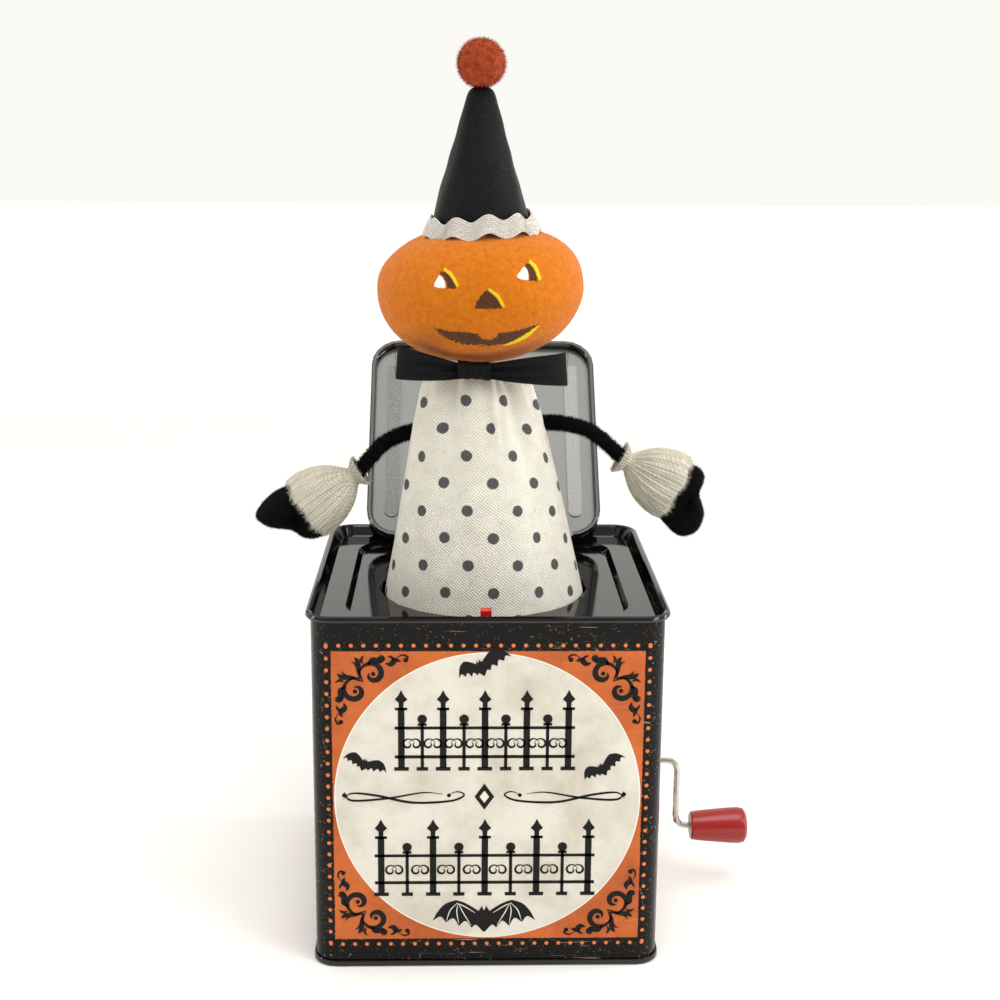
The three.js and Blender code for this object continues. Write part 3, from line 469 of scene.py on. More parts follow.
def stroke(path, widest, peak=0.5, least=0.12):
    """The outline of a pen stroke along a path. Its width rises as a sine to its widest at the
    peak's share of the way and falls again, and never goes under its least."""
    path = np.asarray(path, float)
    s = np.linspace(0, 1, len(path))
    swell = np.sin(np.pi * np.where(s < peak, s / peak / 2, 0.5 + (s - peak) / (1 - peak) / 2))
    along = unit(np.gradient(path, axis=0))
    out = np.stack([-along[:, 1], along[:, 0]], 1) * (least + (widest - least) * swell)[:, None] / 2
    return np.concatenate([path + out, (path - out)[::-1]])


def bar(x0, x1, z0, z1):
    """A plain rectangle."""
    return np.array([[x0, z0], [x1, z0], [x1, z1], [x0, z1]], float)


def spot_of_ink(x, z, r):
    """A round blot of sixteen sides."""
    a = np.arange(16) * np.pi / 8
    return np.stack([x + r * np.cos(a), z + r * np.sin(a)], 1)


def ink(name, outlines, material, lift=0.1):
    """A film of ink of the given thickness on all four sides: each outline of [across, height] is drawn
    at the wall's face and again proud of it, joined round its edge, and turned by quarters."""
    points, faces, caps, start = [], [], [], 0
    for outline in outlines:
        n = len(outline)
        flats = [np.stack([outline[:, 0], np.full(n, y), outline[:, 1]], 1) for y in (-69.9, -70 - lift)]
        for quarter in range(4):
            c, s = [(1, 0), (0, 1), (-1, 0), (0, -1)][quarter]
            box = np.concatenate(flats)
            points.append(np.stack([
                c * box[:, 0] - s * box[:, 1], s * box[:, 0] + c * box[:, 1], box[:, 2]], 1))
            faces.append(quads(2, n) + start)
            caps += [np.arange(n)[::-1] + start, np.arange(n) + n + start]
            start += 2 * n
    return piece(name, np.concatenate(points), np.concatenate(faces), material, "tin", caps=caps, sharp=20)


black_ink, tree, shader = finish("black_litho_ink", varnish)
rub = node(tree, "TexNoise", {
    "Vector": node(tree, "TexCoord").outputs["Object"], "Scale": 700, "Detail": 5, "Roughness": 0.7})
rub = node(tree, "MapRange", {0: rub, 1: 0.66, 2: 0.72, 3: 0.0, 4: 0.5})
rub = node(tree, "Mix", {0: rub, 6: linear("#12100f"), 7: linear("#6d6459")}, data_type="RGBA")
plug(shader, {"Base Color": rub})
cream_ink, _, _ = finish("cream_litho_ink", {"Base Color": linear("#e4dfd3"), "Roughness": 0.22})

# %% Corner scrolls, and a mirrored copy in every corner
leaf = [
    stroke(curl((16.2, 9.4), (5.6, 1.2), 1.15, 0.42), 2.3, 0.55),
    stroke(bend([(9.3, 2.4), (10.6, 4.6), (10.9, 8.6), (12.6, 12.6)]), 2.0, 0.35),
    stroke(bend([(8.0, 4.3), (9.2, 4.9), (9.9, 6.6)]), 0.6),
    stroke(bend([(12.9, 1.6), (11.9, 3.4), (12.6, 5.2)]), 1.1),
    stroke(bend([(14.3, 6.0), (15.9, 3.6), (18.6, 3.6), (19.4, 1.4)]), 2.2, 0.6),
    stroke(bend([(19.9, 1.4), (20.4, 3.2), (18.6, 5.2)]), 1.5),
    stroke(bend([(21.2, 4.9), (23.4, 5.2), (25.2, 3.6), (27.3, 4.2)]), 2.3, 0.5),
    stroke(bend([(22.2, 1.8), (23.9, 2.6), (24.6, 4.0)]), 1.1),
    stroke(bend([(25.8, 2.6), (28.0, 1.5), (30.0, 2.4), (29.6, 4.0)]), 0.8, 0.6),
    spot_of_ink(29.2, 3.6, 0.95), spot_of_ink(16.5, 9.3, 0.9)]
corner = leaf + [part[::-1, ::-1] for part in leaf]
scrolls = [np.array([-61.5, 135]) + part * (1, -1) for part in corner]
scrolls += [part * (-1, 1) for part in scrolls]
scrolls += [np.array([0, 147]) + part * (1, -1) for part in scrolls]
ink("corner_scrolls", scrolls, black_ink)
print(len(scrolls), "strokes of scroll on each side")


# %% Bats, drawn as half an outline and its mirror image
def bat(half, place, size, tilt=0.0, squeeze=1.0):
    """A bat from the right half of its outline, given from the head down to the tail. Each scallop of
    the wing is a curve through its own points. The far wing may be squeezed, as on a turned bat."""
    half = np.asarray(half, float) * size
    whole = np.concatenate([half, half[::-1] * (-squeeze, 1)])
    c, s = math.cos(tilt), math.sin(tilt)
    return whole @ np.array([[c, s], [-s, c]]) + place


spread = np.concatenate([
    [(0.2, 3.0), (0.9, 4.8), (1.7, 3.4)], bend([(2.2, 2.6), (4.8, 4.4), (8.2, 6.4), (11.4, 7.4)], 5),
    bend([(11.4, 7.4), (15.6, 5.8), (18.6, 2.6), (20.8, -1.6)], 5),
    bend([(20.8, -1.6), (17.6, 0.2), (15.4, -2.4)], 5), bend([(15.4, -2.4), (12.4, -0.6), (10.2, -4.0)], 5),
    bend([(10.2, -4.0), (7.4, -1.8), (5.0, -4.8)], 5), bend([(5.0, -4.8), (3.2, -3.6), (0.4, -6.6)], 5)])
bats = [
    bat(spread, (-1.2, 21.6), 1.0), bat(spread, (-3.2, 128.6), 0.62, 0.42, 0.72),
    bat(spread, (-49.0, 88.2), 0.46, -0.35, 0.9), bat(spread, (45.4, 85.8), 0.5, 0.55, 0.8)]
ink("bats", bats, black_ink)
fingers = [stroke(bend([(x0, z0), ((x0 + x1) / 2 + 0.6, (z0 + z1) / 2 + 0.7), (x1, z1)]), 0.4)
           for x0, z0, x1, z1 in ((3.6, 1.8, 11.2, 6.2), (11.0, 6.0, 15.2, -1.6), (10.6, 5.8, 10.2, -3.0),
                                  (10.2, 5.6, 5.2, -3.8))]
fingers += [part * (-1, 1) for part in fingers]
ink("bat_wing_ribs", [part + (-1.2, 21.6) for part in fingers], cream_ink, 0.16)
print(len(bats), "bats on each side")

# %% An iron fence above and below, with a swash and lozenge between
fence = []
for low, high, left, pitch in ((85.2, 119.0, -34.2, 8.25), (31.0, 64.4, -42.6, 10.4)):
    for post in range(9):
        x, tall = left + post * pitch, high if post % 2 == 0 else high - 6.5
        w = 1.3 if post % 2 == 0 else 0.65
        fence += [bar(x - w, x + w, low + 1.2, tall - 7.4), bar(x - w - 1.6, x + w + 1.6, low, low + 1.5)]
        fence.append(bar(x - w - 1.1, x + w + 1.1, tall - 8.4, tall - 7.3))
        if post % 2 == 0:
            tip = np.array([(0, 0), (1.1, -2.2), (2.5, -3.9), (1.0, -5.2), (0.9, -7.4)])
            fence.append(np.concatenate([tip, tip[::-1] * (-1, 1)]) + (x, tall))
        else:
            fence.append(spot_of_ink(x, tall - 5.6, 1.9))
        if post < 8:
            fence.append(stroke(curl((x + pitch / 2 - 1.5, low + 11.2), (2.5, 0.7), 1.1, 0.05), 0.9))
            fence.append(stroke(curl((x + pitch / 2 + 1.5, low + 11.2), (2.5, 0.7), -1.1, 0.45), 0.9))
    span = left + 8 * pitch
    fence += [bar(left - 2.6, span + 2.6, low + 5.2, low + 6.5),
              bar(left - 2.6, span + 2.6, high - 16.4, high - 15.2)]
ink("iron_fence", fence, black_ink)
swash = [
    stroke(bend([(-57.5, 73.0), (-53.8, 75.6), (-44.0, 74.6), (-30.0, 71.6), (-15.0, 72.2), (-9.4, 74.6),
                 (-12.0, 76.2), (-15.6, 74.8)]), 1.0, 0.35),
    stroke(bend([(-57.0, 76.2), (-54.0, 72.6), (-40.0, 73.4), (-26.0, 75.8), (-18.0, 75.2)]), 0.9, 0.3),
    spot_of_ink(-57.0, 74.8, 0.9), spot_of_ink(-15.4, 74.6, 0.8)]
swash += [part * (-1, 1) - (2.6, 0) for part in swash]
lozenge = np.array([(-1.3, 79.6), (2.6, 74.0), (-1.3, 68.4), (-5.2, 74.0)], float)
ink("swashes", swash + [lozenge], black_ink)
ink("lozenge_eye", [np.array([(-1.3, 76.6), (0.6, 74.0), (-1.3, 71.4), (-3.2, 74.0)])], cream_ink, 0.16)
print(len(fence), "bars and curls of fence on each side")

# %% [markdown]
# ## Plated, bare and painted metal, and birch
# The small parts are turned, drawn or stamped. Each keeps its own shape and takes the finish of its
# metal: a metal's colour sits in its reflection, so metallic is one and the roughness tells how it
# was worked. Fine scratches are noise stretched forty times along one direction.


# %% One recipe for worked metal
def worked(name, colour, roughness, spread=0.08, metallic=1.0, scale=500, **sockets):
    """A finish whose roughness wanders by its spread, with stretched noise as its working marks."""
    made, tree, shader = finish(name, {"Base Color": linear(colour), "Metallic": metallic, **sockets})
    place = node(tree, "TexCoord").outputs["Object"]
    drawn = node(tree, "Mapping", {0: place, 2: (0.3, 0.2, 0.6), 3: (1, 40, 40)})
    marks = node(tree, "TexNoise", {"Vector": drawn, "Scale": scale / 40, "Detail": 3})
    rough = node(tree, "MapRange", {0: marks, 1: 0.3, 2: 0.7, 3: roughness - spread, 4: roughness + spread})
    plug(shader, {"Roughness": rough})
    fine = node(tree, "TexNoise", {"Vector": place, "Scale": scale, "Detail": 2})
    bump = node(tree, "Bump", {"Height": fine, "Strength": 0.12, "Distance": 0.0002})
    plug(shader, {"Normal": bump})
    return made


nickel = worked("nickel_plated_wire", "#c9c6bd", 0.22)
steel = worked("cold_rolled_steel", "#8f8e8a", 0.38)
spring_steel = worked("drawn_spring_steel", "#6d6c69", 0.3)
brass = worked("turned_brass", "#c39a4e", 0.28)
red_enamel = worked("red_enamel", "#c41d16", 0.16, 0.05, 0.0, IOR=1.5)
knob_red = worked("moulded_red_abs", "#951712", 0.24, 0.05, 0.0, 260, IOR=1.5)
birch, tree, shader = finish("planed_birch", {"Roughness": 0.6, "IOR": 1.45})
grain = node(tree, "TexWave", {
    "Vector": node(tree, "TexCoord").outputs["Object"], "Scale": 120, "Distortion": 6, "Detail": 3})
wood = node(tree, "Mix", {0: grain, 6: linear("#c9a878"), 7: linear("#dcc297")}, data_type="RGBA")
plug(shader, {"Base Color": wood})
by_slot = {"nickel_wire": nickel, "bare_steel": steel, "spring_steel": spring_steel, "brass": brass,
           "red_enamel": red_enamel, "red_plastic": knob_red, "birch": birch}
body_of = {name: body for body, names in frame["record"]["behaviour"]["bodies"].items() for name in names}
fittings = [row for row in frame["record"]["subparts"]
            if row["material_slot"] in by_slot and row["node"] != "coil_spring"]
for row in fittings:
    smooth_copy(row["node"], by_slot[row["material_slot"]], body_of[row["node"]])
print(len(fittings), "fittings finished")

# %% [markdown]
# ## The coil spring
# Under the dress a conical spring pushes the doll up. It is wire wound on a cone: the angle grows
# evenly, and the pitch is small at both ends, so that they lie flat. When the doll goes down the
# spring closes to its solid height.

# %% Wire wound on a cone
turn = np.linspace(0, 1, 700)
rise = turn - 0.85 * np.sin(2 * np.pi * turn) / (2 * np.pi)
coil_r = 25 + (13.5 - 25) * rise
coil = np.stack([coil_r * np.cos(16 * np.pi * turn), -5 + coil_r * np.sin(16 * np.pi * turn),
                 3.7 + (231 - 3.7) * rise], 1)
spring = tube("spring_wire", coil, 0.9, spring_steel, "tin", (0.0, 0.0, 1.0), 10)
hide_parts("coil_spring")
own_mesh(spring)
print("spring wire", round(float(np.linalg.norm(np.diff(coil, axis=0), axis=1).sum())), "mm long")

# %% [markdown]
# ## Felt, and a painted face
# The head is stuffed and covered with orange felt. Felt is short fibre lying every way, so its
# surface has a fine nap, soft light at its edge, and stray hairs on its outline. The face is paint:
# each shape is an outline, and every point of the grid stores how far it lies from it. The shader
# cuts at zero, which gives a sharp edge on a grid much coarser than the edge itself.


# %% Distance to an outline, and felt
def distance(points, outline):
    """How far points lie from a closed outline, negative inside it. The nearest point of every edge is
    found by projection, and a point is inside when a line to its right crosses an odd number of edges."""
    a = np.asarray(outline, float)
    b = np.roll(a, -1, axis=0)
    edge, to = b - a, points[:, None] - a
    t = np.clip((to * edge).sum(-1) / (edge**2).sum(-1), 0, 1)
    far = np.linalg.norm(to - t[..., None] * edge, axis=-1).min(1)
    straddle = (a[:, 1] > points[:, None, 1]) != (b[:, 1] > points[:, None, 1])
    rise = np.where(edge[:, 1] == 0, 1e-9, edge[:, 1])
    crossing = a[:, 0] + to[..., 1] / rise * edge[:, 0]
    inside = (straddle & (points[:, None, 0] < crossing)).sum(1) % 2 == 1
    return np.where(inside, -far, far)


def felt(name, dark, light, nap, roughness=0.9, sheen=0.12):
    """Felt: colour in clouds of about two millimetres between two shades, and a nap in the bump. It is
    drawn about a millimetre coarse, so that it shows."""
    made, tree, shader = finish(name, {"Roughness": roughness, "IOR": 1.45, "Specular IOR Level": 0.1,
                                       "Sheen Weight": sheen, "Sheen Roughness": 0.5})
    place = node(tree, "TexCoord").outputs["Object"]
    cloud = node(tree, "TexNoise", {"Vector": place, "Scale": 520, "Detail": 5, "Roughness": 0.65})
    shade = node(tree, "MapRange", {0: cloud, 1: 0.22, 2: 0.78})
    colour = node(tree, "Mix", {0: shade, 6: linear(dark), 7: linear(light)}, data_type="RGBA")
    plug(shader, {"Base Color": colour})
    fuzz = node(tree, "TexNoise", {"Vector": place, "Scale": 900, "Detail": 4, "Roughness": 0.7})
    bump = node(tree, "Bump", {"Height": fuzz, "Strength": nap, "Distance": 0.0006})
    plug(shader, {"Normal": bump})
    return made, tree, shader, colour


# %% The head's surface
sit = np.array([-3.0, -5.0, 269.0])
lean = math.radians(3.6)
turned = np.linspace(-np.pi, np.pi, 289)[:-1]
longitude = turned - 0.4 * np.sin(turned)
latitude = np.linspace(-np.pi / 2, np.pi / 2, 162)[1:-1]
power = np.where(latitude > 0, 0.85, 1.0)
wide = np.cos(latitude) ** power
tall = np.sign(latitude) * np.abs(np.sin(latitude)) ** power * np.where(latitude > 0, 26.0, 29.6)
grid = np.stack(np.broadcast_arrays(42.4 * wide[:, None] * np.sin(longitude),
                                    -38 * wide[:, None] * np.cos(longitude), tall[:, None]), -1)
outward = unit(grid / (42.4**2, 38**2, 28**2))
lumps = sum(np.sin(grid @ rng.normal(0, 0.16, 3) + rng.uniform(0, 6.3)) for _ in range(8))
grid = grid + outward * (0.09 * lumps)[..., None]
tip = np.array([[math.cos(lean), 0, math.sin(lean)], [0, 1, 0], [-math.sin(lean), 0, math.cos(lean)]])
grid, outward = grid @ tip, outward @ tip
print("head grid", grid.shape[:2])

# %% The painted shapes, in millimetres from the head's middle
wedge = bend([(1.6, 6.6), (4.6, 4.2), (7.0, 0.0)], 8)
white_of = np.array([
    (-2.0, 0.4), (-1.6, 1.6), (0.3, 4.7), (1.6, 3.7), (2.5, 1.7), (2.7, -0.3), (-0.6, -0.2)])
brown_of = np.concatenate([
    [(0.6, 5.2)], wedge, [(3.0, -0.5)], bend([(3.1, -0.4), (2.7, 2.3), (0.7, 5.0)], 6)])
rim_of = stroke(wedge + (0.5, 0.35), 1.35, 0.5, 1.0)
eyes = [((-16.6, 4.4), 0.02), ((15.5, 7.9), -0.16)]
tilted = [(np.array([[math.cos(a), math.sin(a)], [-math.sin(a), math.cos(a)]]), np.array(at))
          for at, a in eyes]
nose = bend([(2.1, 3.9), (5.6, 1.2), (8.2, -3.2)], 8)
grin = [(-18.4, -11.8), (-15, -12.7), (-11.5, -13.1), (-6, -13.2), (-1.3, -13.9), (-0.6, -15.4),
        (0.5, -16.2),
        (3, -16.6), (5.0, -16.3), (6.2, -15), (6.7, -13.6), (12, -13.2), (18, -11.9), (22.8, -10.6),
        (19.6, -13.8), (15.7, -16.5), (9.1, -18.9), (3.6, -19.3), (-5.5, -18.7), (-10.5, -17.6),
        (-13.9, -16.2), (-16.8, -14.0)]
lip = bend([(8.6, -19.2), (13.2, -17.9), (18.4, -15.0), (22.9, -11.0)], 10)
paints = {
    "brown": [brown_of @ m + at for m, at in tilted] + [grin, np.concatenate([
        nose, bend([(8.0, -3.4), (2.6, -3.5), (-2.8, -3.5), (-2.2, -1.6), (-0.2, 1.7), (1.8, 3.7)], 5)])],
    "white": [white_of @ m + at for m, at in tilted],
    "yellow": [rim_of @ m + at for m, at in tilted] + [
        stroke(nose + (0.5, 0.3), 1.3, 0.5, 1.0), stroke(lip, 1.5, 0.6, 0.3)]}
flat = grid.reshape(-1, 3)
front = np.flatnonzero(flat[:, 1] < -5)
stored = {}
for paint, outlines in paints.items():
    stored[paint] = np.full(len(flat), 20.0)
    far = [distance(flat[front][:, [0, 2]], outline) for outline in outlines]
    stored[paint][front] = np.min(far, axis=0)
# Brown lies pressed into the felt. Yellow and white stand on it as thick paint, in millimetres.
pressed = sum(np.clip(0.5 - stored[paint] / edge, 0, 1) * lift for paint, edge, lift in (
    ("brown", 0.8, -0.22), ("yellow", 0.5, 0.3), ("white", 0.5, 0.35)))
flat = flat + outward.reshape(-1, 3) * pressed[:, None]

# %% Felt with the face cut into its colour
orange_felt, tree, shader, plain = felt("orange_flocked_felt", "#b35a08", "#d37a17", 0.6)
place = node(tree, "TexCoord").outputs["Object"]
ragged = node(tree, "TexNoise", {"Vector": place, "Scale": 1300, "Detail": 3})
# Painted shade: the felt darkens in a patch at the lower left of the face, where shade falls.
lower_left_painted_shade = node(tree, "VectorMath", {0: place, 1: (-0.024, -0.034, 0.249)}, operation="DISTANCE")
lower_left_painted_shade = node(tree, "MapRange", {0: lower_left_painted_shade.outputs["Value"], 1: 0.003, 2: 0.011, 3: 0.42, 4: 0.0})
colour = node(tree, "Mix", {0: lower_left_painted_shade, 6: plain, 7: linear("#7a4218")}, data_type="RGBA")
mottled = node(tree, "Mix", {0: ragged, 6: linear("#2c1810"), 7: linear("#6a4128")}, data_type="RGBA")
for paint, tint, torn in (
        ("brown", mottled, 0.55), ("white", linear("#e9e7e2"), 0.12), ("yellow", linear("#e2c222"), 0.2)):
    far = node(tree, "Attribute", attribute_name=paint).outputs["Fac"]
    noise = node(tree, "MapRange", {0: ragged, 1: 0.3, 2: 0.7, 3: -torn, 4: torn})
    far = node(tree, "Math", {0: far, 1: noise}, operation="ADD")
    cover = node(tree, "MapRange", {0: far, 1: -0.12, 2: 0.12, 3: 1.0, 4: 0.0})
    colour = node(tree, "Mix", {0: cover, 6: colour, 7: tint}, data_type="RGBA")
plug(shader, {"Base Color": colour})
rows, around = grid.shape[:2]
head = piece("pumpkin_head_felt", flat + sit, quads(rows, around), orange_felt, "doll",
             caps=(np.arange(around)[::-1], (rows - 1) * around + np.arange(around)), sharp=80)
for paint, values in stored.items():
    head.data.attributes.new(paint, "FLOAT", "POINT").data.foreach_set("value", values.astype(np.float32))
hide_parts("pumpkin_head")
print("face of", sum(len(v) for v in paints.values()), "painted shapes")

# %% Stray hairs on the felt
clear = np.flatnonzero(np.minimum.reduce(list(stored.values())) > 0.8)
weight = np.repeat(wide, around)[clear]
chosen = rng.choice(clear, 11000, replace=False, p=weight / weight.sum())
ways = outward.reshape(-1, 3)[chosen] + rng.normal(0, 0.75, (len(chosen), 3))
nap, *_ = felt("orange_felt_nap", "#c0690f", "#dc8a2c", 0.1)
fibres("pumpkin_head_nap", flat[chosen] + sit, ways, rng.uniform(0.3, 0.85, len(chosen)), 0.035,
       nap, "doll")
print(len(chosen), "hairs")

# %% [markdown]
# ## Cloth as a shell
# Cloth has two faces and an edge that shows at a hem or a cut. One grid is its outer face. A second,
# a thread's thickness further in along the normals, is its inner face, and the two are joined round
# the edge. A garment closes round; a ribbon doesn't, so its section runs out one face and back.


# %% Shells of cloth
def normals(grid, around=True):
    """The direction square to the grid's rows and columns at every point."""
    across = np.roll(grid, -1, 1) - np.roll(grid, 1, 1) if around else np.gradient(grid, axis=1)
    return unit(np.cross(across, np.gradient(grid, axis=0)))


def shell(name, grid, thick, material, body, uv=None, sharp=60):
    """A garment: the outer rows, then the inner rows in reverse, and the last joined to the first."""
    inner = grid - thick * normals(grid) * np.sign(
        (normals(grid) * (grid - grid.mean((0, 1)))).sum())
    both = np.concatenate([grid, inner[::-1]])
    if uv is not None:
        u, v = (np.concatenate([w, w[::-1], w[:1]]) for w in uv)
        uv = corner_map(u, v)
    return piece(name, both, quads(*both.shape[:2], along=True), material, body, uv=uv, sharp=sharp)


def ribbon(name, grid, thick, material, body, sharp=60):
    """A strip: each row runs across one face and back across the other, and both ends are closed."""
    both = np.concatenate([grid, (grid - thick * normals(grid, False))[:, ::-1]], 1)
    rows, columns = both.shape[:2]
    caps = (np.arange(columns)[::-1], (rows - 1) * columns + np.arange(columns))
    return piece(name, both, quads(rows, columns), material, body, caps=caps, sharp=sharp)


def woven(name, dark, light, pitch, twist=0.0, sockets=(), by_cloth=False):
    """Cloth woven of single threads. Warp and weft are two waves square to each other, a thread's
    pitch in millimetres apart. Both raise the surface, and the gaps between threads are darker. Real
    threads lie about half a millimetre apart; the pitches here are coarser, so that a weave shows."""
    made, tree, shader = finish(name, {
        "Roughness": 0.85, "IOR": 1.46, "Specular IOR Level": 0.3, **dict(sockets)})
    coords = node(tree, "TexCoord")
    place = coords.outputs["UV" if by_cloth else "Object"]
    size = 1 if by_cloth else 1000
    wobble = node(tree, "TexNoise", {"Vector": place, "Scale": 0.4 * size, "Detail": 2})
    wobble = node(tree, "VectorMath", {
        0: wobble.outputs["Color"], 1: (0.8 / size,) * 3}, operation="MULTIPLY")
    moved = node(tree, "VectorMath", {0: place, 1: wobble}, operation="ADD")
    moved = node(tree, "Mapping", {0: moved, 2: (0, 0, twist)})
    part = node(tree, "SeparateXYZ", {0: moved})
    threads = []
    for axis in ("X", "Y" if by_cloth else "Z"):
        wave = node(tree, "Math", {
            0: part.outputs[axis], 1: 2 * np.pi * size / pitch}, operation="MULTIPLY")
        threads.append(node(tree, "Math", {0: wave}, operation="SINE"))
    weave = node(tree, "Math", {0: threads[0], 1: threads[1]}, operation="MULTIPLY")
    slub = node(tree, "TexNoise", {"Vector": place, "Scale": 0.12 * size, "Detail": 4, "Roughness": 0.7})
    slub = node(tree, "MapRange", {0: slub, 3: 0.32, 4: 0.68})
    shade = node(tree, "Math", {0: weave, 1: 0.2}, operation="MULTIPLY")
    shade = node(tree, "Math", {0: shade, 1: slub}, operation="ADD")
    shade = node(tree, "MapRange", {0: shade, 1: 0.24, 2: 0.7})
    colour = node(tree, "Mix", {0: shade, 6: linear(dark), 7: linear(light)}, data_type="RGBA")
    plug(shader, {"Base Color": colour})
    bump = node(tree, "Bump", {"Height": weave, "Strength": 0.5, "Distance": 0.0003})
    plug(shader, {"Normal": bump})
    return made, tree, shader, colour, place


# %% [markdown]
# ## The dotted dress
# The dress is off-white linen with dark printed dots, sewn to a cone and gathered at the neck. Dots on
# Object coordinates would stretch on the sloping side, so the cloth gets its own map: the cone rolled
# out flat, in millimetres, as the cutter had it. Folds are waves in the radius, fading to the hem.

# %% Linen, cut as a cone and printed with dots
circle = np.linspace(-np.pi, np.pi, 301)
profile = np.array([(43.2, 140.6), (41.3, 150), (38.1, 165), (35.0, 180), (31.3, 196), (27.7, 212),
                    (24.9, 222), (22.5, 230), (18.8, 235.6), (14, 236.9), (8, 237.4)])
drop = bend(profile, 14)
radius, height = drop[:, 0], drop[:, 1]
up = np.clip((height - 140) / 97, 0, 1)
folds = (1.9 * np.sin(5 * circle + 0.6)[None] * (0.25 + 0.6 * up)[:, None]
         + 1.0 * np.sin(11 * circle + 2.1 + 1.5 * up[:, None]) * up[:, None] ** 1.2
         + 0.35 * np.sin(23 * circle + 1) * up[:, None] ** 4)
near_neck = np.clip((up[:, None] - 0.55) / 0.4, 0, 1)
tuck = 1.3 * np.exp(-((circle - 0.28 - 0.12 * up[:, None]) / 0.07) ** 2) * near_neck
folds = (folds - tuck) * np.clip((radius - 8) / 10, 0, 1)[:, None]
r = radius[:, None] + folds - 0.9
gown = np.stack([-1.2 - 3.9 * up[:, None] + r * np.sin(circle), -5 - r * np.cos(circle),
                 height[:, None] + 0 * r], -1)
half_angle = math.atan(22.6 / 95)
share = math.sin(half_angle)
slope = 42.2 / share - (height - 140.6) / math.cos(half_angle)
swallowed = 5.5 * np.clip((circle - 0.2) / 0.16, 0, 1) * near_neck
cut_x = slope[:, None] * np.sin(circle * share) + swallowed - 2.4 * up[:, None]
cut_y = slope[:, None] * np.cos(circle * share)
linen, tree, shader, cloth, place = woven("dotted_linen", "#b4af9e", "#efebe0", 1.4, 0.12, by_cloth=True)
near = []
for x, y in ((3.7, 171.8), (13.7, 160.65)):
    moved = node(tree, "SeparateXYZ", {0: node(
        tree, "VectorMath", {0: place, 1: (x, y, 0)}, operation="SUBTRACT")})
    pair = [node(tree, "Math", {0: moved.outputs[axis], 1: half}, operation="PINGPONG")
            for axis, half in (("X", 10), ("Y", 11.15))]
    near.append(node(tree, "VectorMath", {0: node(
        tree, "CombineXYZ", {0: pair[0], 1: pair[1]})}, operation="LENGTH").outputs["Value"])
near = node(tree, "Math", {0: near[0], 1: near[1]}, operation="MINIMUM")
bleed = node(tree, "TexNoise", {"Vector": place, "Scale": 1.6, "Detail": 3})
bleed = node(tree, "MapRange", {0: bleed, 1: 0.3, 2: 0.7, 3: -0.15, 4: 0.15})
near = node(tree, "Math", {0: near, 1: bleed}, operation="ADD")
dot = node(tree, "MapRange", {0: near, 1: 2.15, 2: 2.5, 3: 0.93, 4: 0.0})
cloth = node(tree, "Mix", {0: dot, 6: cloth, 7: linear("#34343a")}, data_type="RGBA")
plug(shader, {"Base Color": cloth})
dress = shell("dotted_dress", gown[:, :-1], 0.5, linen, "doll", uv=(cut_x, cut_y))
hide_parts("dress")
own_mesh(dress)
print("dress", gown.shape[:2])

# %% [markdown]
# ## Hat, braid and pompom
# The hat is black satin on a cone, so it shines softly along its height. Its brim wears ric-rac, a
# flat braid woven to run in waves. The pompom is a ball of wool ends, which only real strands show.

# %% Satin hat
satin, *_ = woven("black_satin", "#020203", "#08080b", 1.1, 0.3, {
    "Roughness": 0.42, "Specular IOR Level": 0.12, "IOR": 1.5}.items())
rings = bend([(-2.7, 295.2, 20.0), (-3.1, 304, 18.4), (-3.3, 317, 14.6), (-3.4, 333, 10), (-3.2, 347, 5.9),
              (-3.2, 350.4, 2.6)], 22)
turn = np.linspace(-np.pi, np.pi, 181)[:-1]
rise = np.clip((rings[:, 1] - 296) / 52, 0, 1)[:, None]
r = (rings[:, 2][:, None] + 0.3 * np.sin(3 * turn + 4 * rise)
     + 0.16 * np.sin(9 * turn - 7 * rise) * (1 - rise))
crease = 0.22 * np.sin(26 * rise + 1.4 * np.cos(turn))
r = r - 0.3 + crease * np.sin(turn + 0.8) ** 2
tilt = np.tan(lean) * (1 - rise)
cone = np.stack([rings[:, 0][:, None] + r * np.sin(turn), -5 - r * np.cos(turn),
                 rings[:, 1][:, None] + r * np.sin(turn) * tilt], -1)
hat = shell("satin_hat", cone, 0.5, satin, "doll")
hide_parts("hat")
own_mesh(hat)

# %% Ric-rac braid
braid, *_ = woven("cream_cotton_braid", "#b5b0a8", "#e2ded6", 1.0, 0.8)
v = np.linspace(0, 1, 46)[:, None]
wave = 1.35 * np.sin(10 * turn + 0.5) + 0.45 * np.sin(3 * turn + 1)
r = 24.3 - 3.2 * v + 0.26 * np.cos(2 * np.pi * 8 * v) + 0.3 * np.sin(10 * turn + 1.2)
z = 292.2 + 6.4 * v + wave
band = np.stack([-2.6 + r * np.sin(turn), -5 - r * np.cos(turn), z + r * np.sin(turn) * math.tan(lean)], -1)
trim = shell("ric_rac_trim", band, 0.7, braid, "doll")
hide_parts("hat_trim")

# %% Wool pompom
wool, *_ = felt("rust_wool", "#8a3211", "#b9522a", 0.6)
n = 5200
spread = np.arange(n) + 0.5
polar, spin = np.arccos(1 - 2 * spread / n), spread * np.pi * (1 + 5**0.5)
ball = np.stack([np.sin(polar) * np.cos(spin), np.sin(polar) * np.sin(spin), np.cos(polar)], 1)
middle = np.array([-3.0, -5, 359.3])
v, w = np.linspace(-np.pi / 2, np.pi / 2, 42)[1:-1, None], np.linspace(0, 2 * np.pi, 65)[:-1]
core = np.stack([np.cos(v) * np.cos(w), np.cos(v) * np.sin(w), np.sin(v) + 0 * w], -1)
core = core * (9.3 + 0.35 * np.sin(core @ (9, 2, 5)) * np.sin(core @ (-3, 8, 6)))[..., None]
pompom = piece("pompom_core", core + middle, quads(40, 64), wool, "pompom",
               caps=(np.arange(64)[::-1], 39 * 64 + np.arange(64)))
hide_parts("hat_pompom")
